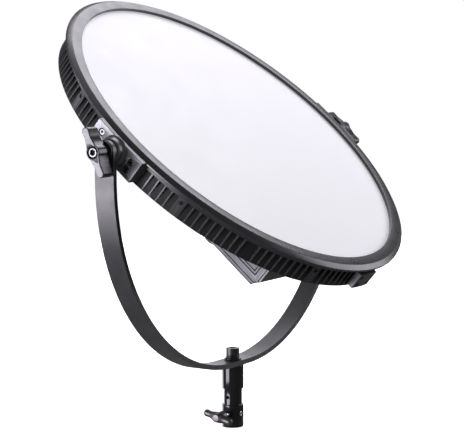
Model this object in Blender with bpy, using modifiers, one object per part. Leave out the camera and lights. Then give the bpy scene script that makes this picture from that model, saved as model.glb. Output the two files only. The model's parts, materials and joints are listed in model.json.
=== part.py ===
"""Round edge-lit LED panel light in a U-shaped yoke, on a stand adapter.

Metres, +Z up. The origin is the centre of the stand socket's mouth. The pivot axis of
the panel head runs along X. The panel head is built in its own frame, with x along the
pivot axis, y up the panel and z out of its bright face, and then leans back by HEAD_LEAN.
"""
import math

import bmesh
import bpy
from mathutils import Matrix, Vector

# Stand adapter
ADAPTER_HEIGHT = 0.0765
ADAPTER_R = 0.0133
ADAPTER_WAIST_R = 0.0114
WAIST_BOTTOM = 0.0276
WAIST_TOP = 0.0476
SOCKET_R = 0.0081
SOCKET_DEPTH = 0.046
BOLT_HOLE_R = 0.0053
BOLT_HOLE_DEPTH = 0.024
LOCK_HEIGHT = 0.0166
SAFETY_HOLE_HEIGHT = 0.0371

# Yoke: a flat bar bent into a U
BAR_WIDTH = 0.025
BAR_THICKNESS = 0.006
YOKE_HALF_SPAN = 0.2642
YOKE_FLAT_HALF = 0.018
YOKE_BEND_R = YOKE_HALF_SPAN - YOKE_FLAT_HALF
YOKE_LEG = 0.029
BEND_STEPS = 22
PIVOT_HEIGHT = ADAPTER_HEIGHT + YOKE_BEND_R + YOKE_LEG
STUD_R = 0.004

# Panel head, in its own frame
HEAD_LEAN = math.radians(40.3)
FRONT_Z = 0.018
BEZEL_R = 0.240
BEZEL_FLAT_R = 0.2342
BEZEL_OPENING_R = 0.2214
BEZEL_DEPTH = 0.006
RIM_R = 0.232
RIM_BORE_R = 0.2247
RIM_BACK_Z = FRONT_Z - 0.036
DISC_R = 0.2241
GROOVE_FLOOR_R = 0.2270
GROOVE_RUN_OUT_R = RIM_R - 0.0003
GROOVE_FRONT_Z = FRONT_Z - 0.013
GROOVE_BACK_Z = FRONT_Z - 0.0352
FIN_PITCH = 2.4
FIN_ANGLE = 0.48
BOSS_GAP = 9
BLOCK_GAPS = 15
PLATE_GAPS = 17
RIM_SCREW_Z = 0.0005
RIM_SCREW_HOLE_R = 0.0026
LAYER_R = 0.2210
PAN_WALL = 0.0013

# Pivot blocks and what sits on them, as distances from the head's centre
BLOCK_FACE = 0.246
BLOCK_INNER = 0.225
BLOCK_HALF_LENGTH = 0.037
BLOCK_FRONT_Z = 0.0145
BLOCK_BACK_Z = -0.014
BLOCK_SCREW_Y = 0.025
BLOCK_SCREW_Z = 0.005
BLOCK_SCREW_R = 0.0036
BLOCK_SINK_R = 0.0042
BLOCK_SINK_DEPTH = 0.004
HUB_R = 0.0142
WASHER_R = 0.0118
ARM_INNER = YOKE_HALF_SPAN - BAR_THICKNESS
KNOB_BACK = YOKE_HALF_SPAN + 0.0028
KNOB_FACE = 0.2853
KNOB_HUB_R = 0.0087
KNOB_HALF_LENGTH = 0.029
KNOB_TIP_R = 0.0048
KNOB_RECESS_R = 0.0073
KNOB_RECESS_DEPTH = 0.005
KNOB_BORE_DEPTH = 0.0105
KNOB_SCREW_R = 0.0054
KNOB_TURN_LEFT = math.radians(23.0)
KNOB_TURN_RIGHT = math.radians(-48.0)

# Control box on the back, in the head's frame
BOX_HALF_WIDTH = 0.105
BOX_TOP = -0.0473
BOX_BOTTOM = -0.1773
BOX_FRONT_Z = RIM_BACK_Z + 0.0002
BOX_BACK_Z = -0.063
BOX_CHAMFER = 0.008
BOX_SLANT = BOX_CHAMFER * 0.94
BOX_WALL = 0.0025
COVER_THICKNESS = 0.002
END_THICKNESS = 0.003
CONTROL_KNOB_X = 0.068
CONTROL_KNOB_Y = -0.084
CONTROL_KNOB_R = 0.013
DISPLAY_Y = -0.078
BUTTON_Y = -0.108
BUTTON_PITCH = 0.022
INLET_X = 0.062
SWITCH_X = 0.018
SOCKETS_Y = -0.143

# Half width and half height of what sits in the cover's windows
DISPLAY_HALF = (0.0320, 0.0170)
BUTTON_HALF = (0.0060, 0.0035)
INLET_HALF = (0.0136, 0.0098)
SWITCH_HALF = (0.0065, 0.0096)

GAP = 0.0003
LARGE_STEPS = 72
MEDIUM_STEPS = 32
ROUND_STEPS = 24
SMALL_STEPS = 16
TINY_STEPS = 8

BLACK_ANODISED = (0.035, 0.035, 0.038, 1.0)
BLACK_PAINT = (0.022, 0.022, 0.024, 1.0)
BLACK_OXIDE = (0.018, 0.018, 0.020, 1.0)
BLACK_PLASTIC = (0.02, 0.02, 0.022, 1.0)
GREY_METAL = (0.26, 0.26, 0.28, 1.0)
GUNMETAL = (0.14, 0.13, 0.14, 1.0)
STEEL = (0.62, 0.62, 0.64, 1.0)
BRASS = (0.66, 0.50, 0.22, 1.0)
OPAL = (0.90, 0.90, 0.94, 1.0)
CLEAR = (0.80, 0.84, 0.86, 1.0)
WHITE = (0.88, 0.88, 0.88, 1.0)
BOARD_GREEN = (0.02, 0.16, 0.07, 1.0)
GLASS_BLACK = (0.01, 0.01, 0.012, 1.0)

for old in list(bpy.data.objects):
    bpy.data.objects.remove(old, do_unlink=True)

PARTS = bpy.data.collections.new("led_panel_light")
CUTTERS = bpy.data.collections.new("cutters")
bpy.context.scene.collection.children.link(PARTS)
bpy.context.scene.collection.children.link(CUTTERS)


# Frames

def empty(name, location, rotation):
    """An empty that marks a joint axis and carries the pieces that move with it."""
    holder = bpy.data.objects.new(name, None)
    holder.location = location
    holder.rotation_euler = rotation
    PARTS.objects.link(holder)
    return holder


HEAD = empty("panel_head_axis", (0.0, 0.0, PIVOT_HEIGHT), (HEAD_LEAN, 0.0, 0.0))

BACKWARDS = (math.pi, 0.0, 0.0)
OUT_OF_SIDE_FACE = Matrix(((0, 0, 1, 0), (1, 0, 0, 0), (0, 1, 0, 0), (0, 0, 0, 1)))


def outwards(side):
    """Rotation that turns local +z towards side * X."""
    return (0.0, side * math.pi / 2, 0.0)


def side_name(side):
    return "left" if side < 0 else "right"


# Building tools

def finish(obj, color, metallic, roughness):
    """Give a piece its own material."""
    material = bpy.data.materials.new(obj.name)
    material.use_nodes = True
    shader = material.node_tree.nodes["Principled BSDF"]
    shader.inputs["Base Color"].default_value = color
    shader.inputs["Metallic"].default_value = metallic
    shader.inputs["Roughness"].default_value = roughness
    obj.data.materials.clear()
    obj.data.materials.append(material)
    return obj


def add(name, mesh, parent=None, location=(0, 0, 0), rotation=(0, 0, 0), cutter=False):
    """Link a mesh as a new object under its parent."""
    obj = bpy.data.objects.new(name, mesh)
    obj.parent = parent
    obj.location = location
    obj.rotation_euler = rotation
    if cutter:
        obj.hide_render = True
        obj.display_type = "WIRE"
        CUTTERS.objects.link(obj)
    else:
        PARTS.objects.link(obj)
    return obj


def mesh_from(bm, name, smooth=True):
    mesh = bpy.data.meshes.new(name)
    bm.to_mesh(mesh)
    bm.free()
    if smooth:
        mesh.shade_smooth()
        mesh.set_sharp_from_angle(angle=math.radians(35))
    return mesh


def turned(name, profile, steps, closed=False, **place):
    """Turn a profile of (radius, height) points about z. It runs down its outer side."""
    bm = bmesh.new()
    points = [bm.verts.new((radius, 0.0, height)) for radius, height in profile]
    for first, second in zip(points, points[1:]):
        bm.edges.new((first, second))
    if closed:
        bm.edges.new((points[-1], points[0]))
    obj = add(name, mesh_from(bm, name, smooth=False), **place)
    screw = obj.modifiers.new("Turn", "SCREW")
    screw.steps = steps
    screw.render_steps = steps
    screw.use_merge_vertices = True
    screw.merge_threshold = 0.00001
    screw.use_smooth_shade = False
    return obj


def disc_profile(radius, bottom, top):
    return [(0.0, top), (radius, top), (radius, bottom), (0.0, bottom)]


def ring_profile(inner, outer, bottom, top):
    return [(inner, top), (outer, top), (outer, bottom), (inner, bottom)]


def block(name, low, high, bevel=0.0, **place):
    """A box between two corners, with its edges bevelled."""
    bm = bmesh.new()
    low = Vector(low)
    high = Vector(high)
    centre = (low + high) / 2
    size = Matrix.Diagonal((high - low).to_4d())
    bmesh.ops.create_cube(bm, size=1.0, matrix=Matrix.Translation(centre) @ size)
    obj = add(name, mesh_from(bm, name, smooth=False), **place)
    if bevel > 0.0:
        rounding = obj.modifiers.new("Bevel", "BEVEL")
        rounding.width = bevel
        rounding.segments = 1
    return obj


def rod(name, radius, bottom, top, steps, **place):
    """A cylinder along local z."""
    bm = bmesh.new()
    middle = Matrix.Translation((0.0, 0.0, (bottom + top) / 2))
    bmesh.ops.create_cone(bm, cap_ends=True, segments=steps, radius1=radius, radius2=radius,
                          depth=top - bottom, matrix=middle)
    return add(name, mesh_from(bm, name), **place)


def plate(name, outline, thickness, matrix=Matrix.Identity(4), **place):
    """A flat outline of (x, y) points with a thickness centred on its plane."""
    curve = bpy.data.curves.new(name, "CURVE")
    curve.dimensions = "2D"
    curve.fill_mode = "BOTH"
    curve.extrude = thickness / 2
    spline = curve.splines.new("POLY")
    spline.points.add(len(outline) - 1)
    for point, (x, y) in zip(spline.points, outline):
        point.co = (x, y, 0.0, 1.0)
    spline.use_cyclic_u = True
    guide = bpy.data.objects.new(name + "_outline", curve)
    PARTS.objects.link(guide)
    evaluated = guide.evaluated_get(bpy.context.evaluated_depsgraph_get())
    mesh = bpy.data.meshes.new_from_object(evaluated)
    bpy.data.objects.remove(guide, do_unlink=True)
    bm = bmesh.new()
    bm.from_mesh(mesh)
    bmesh.ops.remove_doubles(bm, verts=bm.verts, dist=0.00001)
    bmesh.ops.recalc_face_normals(bm, faces=bm.faces)
    bm.to_mesh(mesh)
    bm.free()
    mesh.materials.clear()
    mesh.transform(matrix)
    return add(name, mesh, **place)


def boolean(obj, tool, operation="DIFFERENCE"):
    change = obj.modifiers.new(tool.name, "BOOLEAN")
    change.operation = operation
    change.object = tool
    return obj


def drill(obj, radius, bottom, top, steps=TINY_STEPS, **place):
    """Cut a round hole between two heights along the drill's z."""
    name = f"{obj.name}_hole_{len(obj.modifiers)}"
    return boolean(obj, rod(name, radius, bottom, top, steps, cutter=True, **place))


def arc(centre, radius, start, end, steps):
    """Points on an arc, angles in degrees."""
    points = []
    for step in range(steps + 1):
        angle = math.radians(start + (end - start) * step / steps)
        x = centre[0] + radius * math.cos(angle)
        y = centre[1] + radius * math.sin(angle)
        points.append((x, y))
    return points


def screw_profile(head_r, head_height, shank_r, length):
    """A plain screw, with the underside of its head at z = 0."""
    return [
        (0.0, head_height),
        (head_r, head_height),
        (head_r, 0.0),
        (shank_r, 0.0),
        (shank_r, -length),
        (0.0, -length),
    ]


# Yoke and stand adapter

def make_yoke():
    """U of flat bar, drawn in the XZ plane, with rounded arm ends and three holes."""
    bend_z = PIVOT_HEIGHT - YOKE_LEG
    top = PIVOT_HEIGHT + BAR_WIDTH / 2
    right = (YOKE_FLAT_HALF, bend_z)
    left = (-YOKE_FLAT_HALF, bend_z)
    inner_r = YOKE_BEND_R - BAR_THICKNESS
    outline = [(YOKE_HALF_SPAN, top)]
    outline += arc(right, YOKE_BEND_R, 0, -90, BEND_STEPS)
    outline += arc(left, YOKE_BEND_R, -90, -180, BEND_STEPS)
    outline += [(-YOKE_HALF_SPAN, top), (-ARM_INNER, top)]
    outline += arc(left, inner_r, -180, -90, BEND_STEPS)
    outline += arc(right, inner_r, -90, 0, BEND_STEPS)
    outline += [(ARM_INNER, top)]
    standing = Matrix.Rotation(math.pi / 2, 4, "X")
    yoke = plate("yoke", outline, BAR_WIDTH, matrix=standing)
    round_arm_ends(yoke.data, top)
    for side in (-1, 1):
        drill(yoke, STUD_R + GAP, ARM_INNER - 0.01, YOKE_HALF_SPAN + 0.01, SMALL_STEPS,
              location=(0.0, 0.0, PIVOT_HEIGHT), rotation=outwards(side))
    drill(yoke, BOLT_HOLE_R, ADAPTER_HEIGHT - 0.01, ADAPTER_HEIGHT + 0.02, SMALL_STEPS)
    return finish(yoke, BLACK_PAINT, 0.4, 0.42)


def round_arm_ends(mesh, top):
    """Round the two upper corners of each arm to half the bar's width."""
    bm = bmesh.new()
    bm.from_mesh(mesh)
    corners = []
    for edge in bm.edges:
        ends = edge.verts
        along = ends[1].co - ends[0].co
        at_top = all(abs(vert.co.z - top) < 0.0001 for vert in ends)
        if at_top and abs(along.y) < 0.0001 and edge.calc_face_angle(0.0) > 1.0:
            corners.append(edge)
    bmesh.ops.bevel(bm, geom=corners, offset=BAR_WIDTH / 2 - 0.0002, segments=8, profile=0.5,
                    affect="EDGES", offset_type="OFFSET")
    bm.to_mesh(mesh)
    bm.free()


def make_adapter():
    """Turned adapter with a stand socket below and a bolt hole above."""
    chamfer = 0.0015
    floor = ADAPTER_HEIGHT - BOLT_HOLE_DEPTH
    profile = [
        (0.0, floor),
        (BOLT_HOLE_R, floor),
        (BOLT_HOLE_R, ADAPTER_HEIGHT - GAP),
        (ADAPTER_R, ADAPTER_HEIGHT - GAP),
        (ADAPTER_R, WAIST_TOP),
        (ADAPTER_WAIST_R, WAIST_TOP),
        (ADAPTER_WAIST_R, WAIST_BOTTOM),
        (ADAPTER_R, WAIST_BOTTOM),
        (ADAPTER_R, chamfer),
        (ADAPTER_R - chamfer, 0.0),
        (SOCKET_R, 0.0),
        (SOCKET_R, SOCKET_DEPTH),
        (0.0, SOCKET_DEPTH),
    ]
    adapter = turned("stand_adapter", profile, MEDIUM_STEPS)
    stop_sink_floor = ADAPTER_R - 0.0021
    wall_middle = 0.005
    outside = 0.02
    lock_side = dict(location=(0.0, 0.0, LOCK_HEIGHT), rotation=outwards(-1))
    stop_side = dict(location=(0.0, 0.0, LOCK_HEIGHT), rotation=(math.pi / 2, 0.0, 0.0))
    safety_side = dict(location=(0.0, 0.0, SAFETY_HOLE_HEIGHT), rotation=outwards(-1))
    drill(adapter, STUD_R + GAP, wall_middle, outside, SMALL_STEPS, **lock_side)
    drill(adapter, 0.0034, wall_middle, outside, SMALL_STEPS, **stop_side)
    drill(adapter, 0.0056, stop_sink_floor, outside, SMALL_STEPS, **stop_side)
    drill(adapter, 0.0022, wall_middle, outside, TINY_STEPS, **safety_side)
    finish(adapter, BLACK_ANODISED, 0.6, 0.25)
    stop = rod("stop_screw", 0.003, SOCKET_R + 0.0007, ADAPTER_R - 0.0009, TINY_STEPS,
               **stop_side)
    finish(stop, STEEL, 1.0, 0.3)
    return adapter


def make_bolt():
    """Washers and the socket-head bolt that clamp the yoke to the adapter."""
    seat = dict(location=(0.0, 0.0, ADAPTER_HEIGHT + BAR_THICKNESS))
    flat_top = 0.0022
    spring_top = 0.0048
    flat_profile = ring_profile(BOLT_HOLE_R, 0.0105, GAP, flat_top)
    flat = turned("adapter_washer", flat_profile, ROUND_STEPS, closed=True, **seat)
    finish(flat, BLACK_OXIDE, 0.8, 0.35)
    spring_profile = ring_profile(BOLT_HOLE_R, 0.0086, flat_top + GAP, spring_top)
    spring = turned("spring_washer", spring_profile, ROUND_STEPS, closed=True, **seat)
    finish(spring, BLACK_OXIDE, 0.8, 0.35)
    head_r = 0.0081
    head_bottom = spring_top + GAP
    head_top = head_bottom + 0.0094
    socket_r = 0.0046
    socket_floor = head_top - 0.005
    shank_r = 0.0049
    tip = -0.0275
    profile = [
        (0.0, socket_floor),
        (socket_r, socket_floor),
        (socket_r, head_top),
        (head_r - 0.0005, head_top),
        (head_r, head_top - 0.0006),
        (head_r, head_bottom),
        (shank_r, head_bottom),
        (shank_r, tip),
        (0.0, tip),
    ]
    bolt = turned("adapter_bolt", profile, ROUND_STEPS, **seat)
    return finish(bolt, BLACK_OXIDE, 0.8, 0.35)


def make_lock():
    """Thumb screw with a T handle that clamps the stand's spigot."""
    place = dict(location=(0.0, 0.0, LOCK_HEIGHT), rotation=outwards(-1))
    pad_end = 0.0104
    screw_end = 0.0265
    handle_middle = 0.0332
    pad = rod("lock_pad", 0.0036, SOCKET_R + 0.0004, pad_end, TINY_STEPS, **place)
    finish(pad, BRASS, 1.0, 0.35)
    screw = rod("lock_screw", STUD_R, pad_end + GAP, screw_end, SMALL_STEPS, **place)
    finish(screw, STEEL, 1.0, 0.3)
    half = 0.020
    spindle = [(0.0, half), (0.0032, half - 0.0009), (0.0046, half - 0.0036),
               (0.0040, half - 0.009), (0.0060, 0.005), (0.0066, 0.0)]
    mirrored = [(radius, -height) for radius, height in reversed(spindle[:-1])]
    handle = turned("lock_handle", spindle + mirrored, 12,
                    location=(-handle_middle, 0.0, LOCK_HEIGHT),
                    rotation=(math.radians(-76.0), 0.0, 0.0))
    boss = rod("lock_handle_boss", 0.0062, handle_middle - 0.011, handle_middle + 0.0043,
               SMALL_STEPS, cutter=True, **place)
    boolean(handle, boss, "UNION")
    drill(handle, STUD_R + GAP, 0.0, screw_end + GAP, SMALL_STEPS, **place)
    return finish(handle, GUNMETAL, 0.9, 0.35)


# Panel head: rim and optics

def groove_spans():
    """Angles in degrees at which each groove between fins starts and ends."""
    half_fin = FIN_ANGLE / 2
    spans = []
    for quadrant in range(4):
        centre = 45.0 + 90.0 * quadrant
        spans.append((centre - FIN_PITCH + half_fin, centre + FIN_PITCH - half_fin))
        for towards in (-1, 1):
            faces_block = (quadrant in (0, 2)) == (towards < 0)
            last = BLOCK_GAPS if faces_block else PLATE_GAPS
            for gap in range(1, last):
                if gap == BOSS_GAP:
                    continue
                near = centre + towards * (FIN_PITCH * gap + half_fin)
                far = centre + towards * (FIN_PITCH * (gap + 1) - half_fin)
                spans.append((min(near, far), max(near, far)))
    return sorted(spans)


def rim_columns(spans):
    """Every angle at which the rim's outer wall changes, with fine steps between grooves."""
    angles = [0.0]
    for start, end in spans + [(360.0, 360.0)]:
        stretch = start - angles[-1]
        parts = max(1, round(stretch / FIN_PITCH))
        begin = angles[-1]
        angles += [begin + stretch * part / parts for part in range(1, parts + 1)]
        if end > start:
            angles.append(end)
    return angles


def make_rim():
    """Heat-sink ring: a turned section with a groove pushed in between every two fins.

    Each groove is deepest at its front end and runs out at the rim's back edge.
    """
    section = [
        (RIM_BORE_R, FRONT_Z - BEZEL_DEPTH - GAP),
        (RIM_R, FRONT_Z - BEZEL_DEPTH - GAP),
        (RIM_R, GROOVE_FRONT_Z),
        (RIM_R, GROOVE_BACK_Z),
        (RIM_R, RIM_BACK_Z),
        (RIM_BORE_R, RIM_BACK_Z),
    ]
    spans = groove_spans()
    angles = rim_columns(spans)
    bm = bmesh.new()
    points = [bm.verts.new((radius, 0.0, height)) for radius, height in section]
    front = points + [bm.edges.new((points[i - 1], points[i])) for i in range(len(points))]
    for start, end in zip(angles, angles[1:]):
        turn = math.radians(end - start)
        made = bmesh.ops.spin(bm, geom=front, cent=(0, 0, 0), axis=(0, 0, 1), angle=turn, steps=1)
        front = made["geom_last"]
    bmesh.ops.remove_doubles(bm, verts=bm.verts, dist=0.00001)
    bmesh.ops.recalc_face_normals(bm, faces=bm.faces)
    grooves = [face for face in bm.faces if lies_in_groove(face, spans)]
    pushed = bmesh.ops.extrude_discrete_faces(bm, faces=grooves)["faces"]
    for vert in {vert for face in pushed for vert in face.verts}:
        forward = (vert.co.z - GROOVE_BACK_Z) / (GROOVE_FRONT_Z - GROOVE_BACK_Z)
        floor_r = GROOVE_RUN_OUT_R + (GROOVE_FLOOR_R - GROOVE_RUN_OUT_R) * forward
        vert.co.x *= floor_r / RIM_R
        vert.co.y *= floor_r / RIM_R
    rim = add("rim_heatsink", mesh_from(bm, "rim_heatsink"), parent=HEAD)
    boolean(rim, radial_drills("rim_screw_holes", RIM_SCREW_HOLE_R, 0.215, 0.240))
    return finish(rim, BLACK_ANODISED, 0.6, 0.45)


def lies_in_groove(face, spans):
    centre = face.calc_center_median()
    angle = math.degrees(math.atan2(centre.y, centre.x)) % 360.0
    on_wall = centre.xy.length > RIM_R - 0.001 and abs(face.normal.z) < 0.5
    between = GROOVE_BACK_Z < centre.z < GROOVE_FRONT_Z
    return on_wall and between and any(start < angle < end for start, end in spans)


def rim_screw_angles():
    """The eight screws stand midway between two fins, on bosses."""
    offset = FIN_PITCH * (BOSS_GAP + 0.5)
    corners = [45.0 + 90.0 * quadrant for quadrant in range(4)]
    return [corner + towards * offset for corner in corners for towards in (-1, 1)]


def pointing_out(angle, height):
    """Matrix whose z points away from the head's centre at an angle in degrees."""
    turn = Matrix.Rotation(math.radians(angle), 4, "Z")
    tip = Matrix.Rotation(math.pi / 2, 4, "Y")
    return Matrix.Translation((0.0, 0.0, height)) @ turn @ tip


def radial_drills(name, radius, inner, outer):
    """Eight drills that point out of the rim, in one cutter."""
    bm = bmesh.new()
    for angle in rim_screw_angles():
        middle = Matrix.Translation((0.0, 0.0, (inner + outer) / 2))
        bmesh.ops.create_cone(bm, cap_ends=True, segments=SMALL_STEPS // 2 + 2, radius1=radius,
                              radius2=radius, depth=outer - inner,
                              matrix=pointing_out(angle, RIM_SCREW_Z) @ middle)
    return add(name, mesh_from(bm, name), parent=HEAD, cutter=True)


def make_bezel():
    """Front ring with a chamfered outer edge and a rebate for the diffuser's edge."""
    lip_z = FRONT_Z - 0.0039
    back_z = FRONT_Z - BEZEL_DEPTH
    profile = [
        (BEZEL_OPENING_R, FRONT_Z),
        (BEZEL_FLAT_R, FRONT_Z),
        (BEZEL_R, FRONT_Z - 0.0035),
        (BEZEL_R, back_z),
        (RIM_BORE_R + GAP, back_z),
        (RIM_BORE_R + GAP, lip_z),
        (BEZEL_OPENING_R, lip_z),
    ]
    bezel = turned("front_bezel", profile, 96, closed=True, parent=HEAD)
    return finish(bezel, BLACK_ANODISED, 0.6, 0.4)


def make_optics():
    """Diffuser, light guide, reflector and backing plate, from the front to the back."""
    layers = [
        ("diffuser", DISC_R, 0.0113, 0.0138, OPAL, 0.45),
        ("light_guide_plate", LAYER_R, 0.0070, 0.0110, CLEAR, 0.05),
        ("reflector_sheet", LAYER_R, 0.0062, 0.0067, WHITE, 0.6),
        ("backing_plate", LAYER_R + 0.0006, 0.0044, 0.0059, GREY_METAL, 0.5),
    ]
    for name, radius, bottom, top, color, roughness in layers:
        layer = turned(name, disc_profile(radius, bottom, top), LARGE_STEPS, parent=HEAD)
        finish(layer, color, 0.0, roughness)


def make_led_ring():
    """LED strip facing the light guide's edge, on a rolled angle that carries the layers."""
    strip_inner = LAYER_R + 0.0006
    strip_outer = strip_inner + 0.0005
    top = 0.0108
    strip = turned("led_strip_ring", ring_profile(strip_inner, strip_outer, 0.0072, top),
                   LARGE_STEPS, closed=True, parent=HEAD)
    finish(strip, WHITE, 0.0, 0.4)
    sheet = 0.0011
    flange_r = 0.2120
    flange_z = 0.0030
    wall_r = DISC_R - GAP
    profile = [
        (wall_r - sheet, top),
        (wall_r, top),
        (wall_r, flange_z),
        (flange_r, flange_z),
        (flange_r, flange_z + sheet),
        (wall_r - sheet, flange_z + sheet),
    ]
    carrier = turned("led_carrier_ring", profile, LARGE_STEPS, closed=True, parent=HEAD)
    return finish(carrier, GREY_METAL, 0.9, 0.4)


def make_back_cover():
    """Shallow pan that closes the back, held by eight screws through the rim."""
    inner = DISC_R - PAN_WALL
    inside = -0.0160
    lip = 0.0012
    outside = RIM_BACK_Z + 0.0005
    profile = [
        (0.0, inside),
        (inner, inside),
        (inner, lip),
        (DISC_R, lip),
        (DISC_R, outside),
        (0.0, outside),
    ]
    cover = turned("back_cover", profile, LARGE_STEPS, parent=HEAD)
    return finish(cover, BLACK_PAINT, 0.5, 0.5)


# Panel head: pivots

def make_pivot_block(side):
    """Block that fits the rim's curve and passes behind the bezel's edge."""
    name = f"pivot_block_{side_name(side)}"
    inner = side * BLOCK_INNER
    outer = side * BLOCK_FACE
    beyond = BLOCK_FACE + 0.01
    piece = block(name, (min(inner, outer), -BLOCK_HALF_LENGTH, BLOCK_BACK_Z),
                  (max(inner, outer), BLOCK_HALF_LENGTH, BLOCK_FRONT_Z), 0.0012, parent=HEAD)
    back = FRONT_Z - BEZEL_DEPTH - GAP
    boolean(piece, rod(name + "_rim", RIM_R + GAP, -0.05, back, 180, parent=HEAD, cutter=True))
    boolean(piece, rod(name + "_bezel", BEZEL_R + 0.0004, back - 0.0001, 0.05, 180, parent=HEAD,
                       cutter=True))
    for y in (-BLOCK_SCREW_Y, BLOCK_SCREW_Y):
        for z in (-BLOCK_SCREW_Z, BLOCK_SCREW_Z):
            drill(piece, BLOCK_SINK_R, BLOCK_FACE - BLOCK_SINK_DEPTH, beyond, 12, parent=HEAD,
                  location=(0.0, y, z), rotation=outwards(side))
    drill(piece, STUD_R + GAP, BLOCK_FACE - 0.008, beyond, 12, parent=HEAD,
          rotation=outwards(side))
    finish(piece, BLACK_ANODISED, 0.6, 0.4)
    corners = [(BLOCK_SCREW_Y, BLOCK_SCREW_Z), (BLOCK_SCREW_Y, -BLOCK_SCREW_Z),
               (-BLOCK_SCREW_Y, BLOCK_SCREW_Z), (-BLOCK_SCREW_Y, -BLOCK_SCREW_Z)]
    for number, (y, z) in enumerate(corners, start=1):
        screw = rod(f"pivot_block_screw_{side_name(side)}_{number}", BLOCK_SCREW_R,
                    BLOCK_FACE - BLOCK_SINK_DEPTH + GAP, BLOCK_FACE - 0.0006, 12, parent=HEAD,
                    location=(0.0, y, z), rotation=outwards(side))
        finish(screw, STEEL, 1.0, 0.3)


def knob_outline():
    """Two rounded wings that swell into a round hub, drawn with the wings along x."""
    tip = (KNOB_HALF_LENGTH - KNOB_TIP_R, 0.0)
    waist_x = 0.0150
    waist_y = 0.0044
    hub_end = 50.0
    right = arc(tip, KNOB_TIP_R, -80, 80, 6)
    right.append((waist_x, waist_y))
    right += arc((0.0, 0.0), KNOB_HUB_R, hub_end, 180.0 - hub_end, 6)
    right.append((-waist_x, waist_y))
    left = [(-x, -y) for x, y in right]
    return right + left


def make_clamp(side):
    """Hub, washers, stud and knob of one pivot, outwards from the block."""
    word = side_name(side)
    place = dict(location=(0.0, 0.0, PIVOT_HEIGHT), rotation=outwards(side))
    bore = STUD_R + GAP
    hub_top = ARM_INNER - 0.0016
    edge = 0.0008
    hub_profile = [
        (bore, hub_top),
        (HUB_R - edge, hub_top),
        (HUB_R, hub_top - edge),
        (HUB_R, BLOCK_FACE + GAP),
        (bore, BLOCK_FACE + GAP),
    ]
    hub = turned(f"pivot_hub_{word}", hub_profile, MEDIUM_STEPS, closed=True, **place)
    finish(hub, BLACK_ANODISED, 0.7, 0.3)
    stud = rod(f"pivot_stud_{word}", STUD_R, BLOCK_FACE - 0.0077,
               KNOB_FACE - KNOB_BORE_DEPTH - 0.001, SMALL_STEPS, **place)
    finish(stud, STEEL, 1.0, 0.3)
    inner_washer = ring_profile(bore, WASHER_R, hub_top + GAP, ARM_INNER - GAP)
    washer = turned(f"friction_washer_{word}", inner_washer, ROUND_STEPS, closed=True, **place)
    finish(washer, BLACK_PLASTIC, 0.0, 0.7)
    outer_washer = ring_profile(bore, WASHER_R, YOKE_HALF_SPAN + GAP, KNOB_BACK - GAP)
    washer = turned(f"arm_washer_{word}", outer_washer, ROUND_STEPS, closed=True, **place)
    finish(washer, BLACK_PLASTIC, 0.0, 0.6)
    make_clamp_knob(side, place)


def make_clamp_knob(side, place):
    """Winged knob, leaning as it was last left, with a screw recessed in its face."""
    word = side_name(side)
    lean = KNOB_TURN_LEFT if side < 0 else KNOB_TURN_RIGHT
    turn = Matrix.Rotation(lean, 4, "Z")
    lift = Matrix.Translation((0.0, 0.0, (KNOB_BACK + KNOB_FACE) / 2))
    knob = plate(f"clamp_knob_{word}", knob_outline(), KNOB_FACE - KNOB_BACK,
                 matrix=lift @ turn, **place)
    drill(knob, STUD_R + GAP, KNOB_BACK - 0.01, KNOB_FACE - KNOB_BORE_DEPTH, SMALL_STEPS, **place)
    drill(knob, KNOB_RECESS_R, KNOB_FACE - KNOB_RECESS_DEPTH, KNOB_FACE + 0.01, SMALL_STEPS,
          **place)
    drill(knob, 0.0028, KNOB_FACE - 0.02, KNOB_FACE, TINY_STEPS, **place)
    finish(knob, GREY_METAL, 0.8, 0.35)
    head_height = KNOB_RECESS_DEPTH - 0.0007
    profile = screw_profile(KNOB_SCREW_R, head_height, 0.0024, 0.0055)
    screw = turned(f"knob_screw_{word}", profile, 12, **place)
    screw.location.x = side * (KNOB_FACE - KNOB_RECESS_DEPTH + GAP)
    return finish(screw, STEEL, 1.0, 0.25)


def make_joint_plate():
    """Curved plate over the joint of the rim, at its lowest point."""
    top = -0.2290
    bottom = -0.2398
    low_z = -0.0150
    high_z = 0.0055
    half = 0.0190
    piece = block("rim_joint_plate", (-half, bottom, low_z), (half, top, high_z), 0.0008,
                  parent=HEAD)
    boolean(piece, rod("rim_joint_plate_rim", RIM_R + GAP, -0.05, 0.05, 180, parent=HEAD,
                       cutter=True))
    return finish(piece, BLACK_ANODISED, 0.6, 0.4)


# Control box

def make_box_shell():
    """Housing open to the back, its two end plates and its cover."""
    seam_z = BOX_BACK_Z + COVER_THICKNESS + GAP
    half = BOX_HALF_WIDTH - END_THICKNESS - GAP
    outer = [
        (BOX_TOP, seam_z),
        (BOX_TOP, BOX_FRONT_Z),
        (BOX_BOTTOM, BOX_FRONT_Z),
        (BOX_BOTTOM, seam_z + BOX_CHAMFER),
        (BOX_BOTTOM + BOX_SLANT, seam_z),
    ]
    wall = BOX_WALL
    channel = outer + [
        (BOX_BOTTOM + BOX_SLANT + wall, seam_z),
        (BOX_BOTTOM + wall, seam_z + BOX_CHAMFER + 0.0008),
        (BOX_BOTTOM + wall, BOX_FRONT_Z - wall),
        (BOX_TOP - wall, BOX_FRONT_Z - wall),
        (BOX_TOP - wall, seam_z),
    ]
    housing = plate("control_box_housing", channel, 2 * half, matrix=OUT_OF_SIDE_FACE,
                    parent=HEAD)
    finish(housing, BLACK_ANODISED, 0.6, 0.5)
    for side in (-1, 1):
        middle = side * (BOX_HALF_WIDTH - END_THICKNESS / 2)
        end = plate(f"control_box_end_{side_name(side)}", outer, END_THICKNESS,
                    matrix=Matrix.Translation((middle, 0.0, 0.0)) @ OUT_OF_SIDE_FACE, parent=HEAD)
        finish(end, GREY_METAL, 0.5, 0.4)


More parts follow.
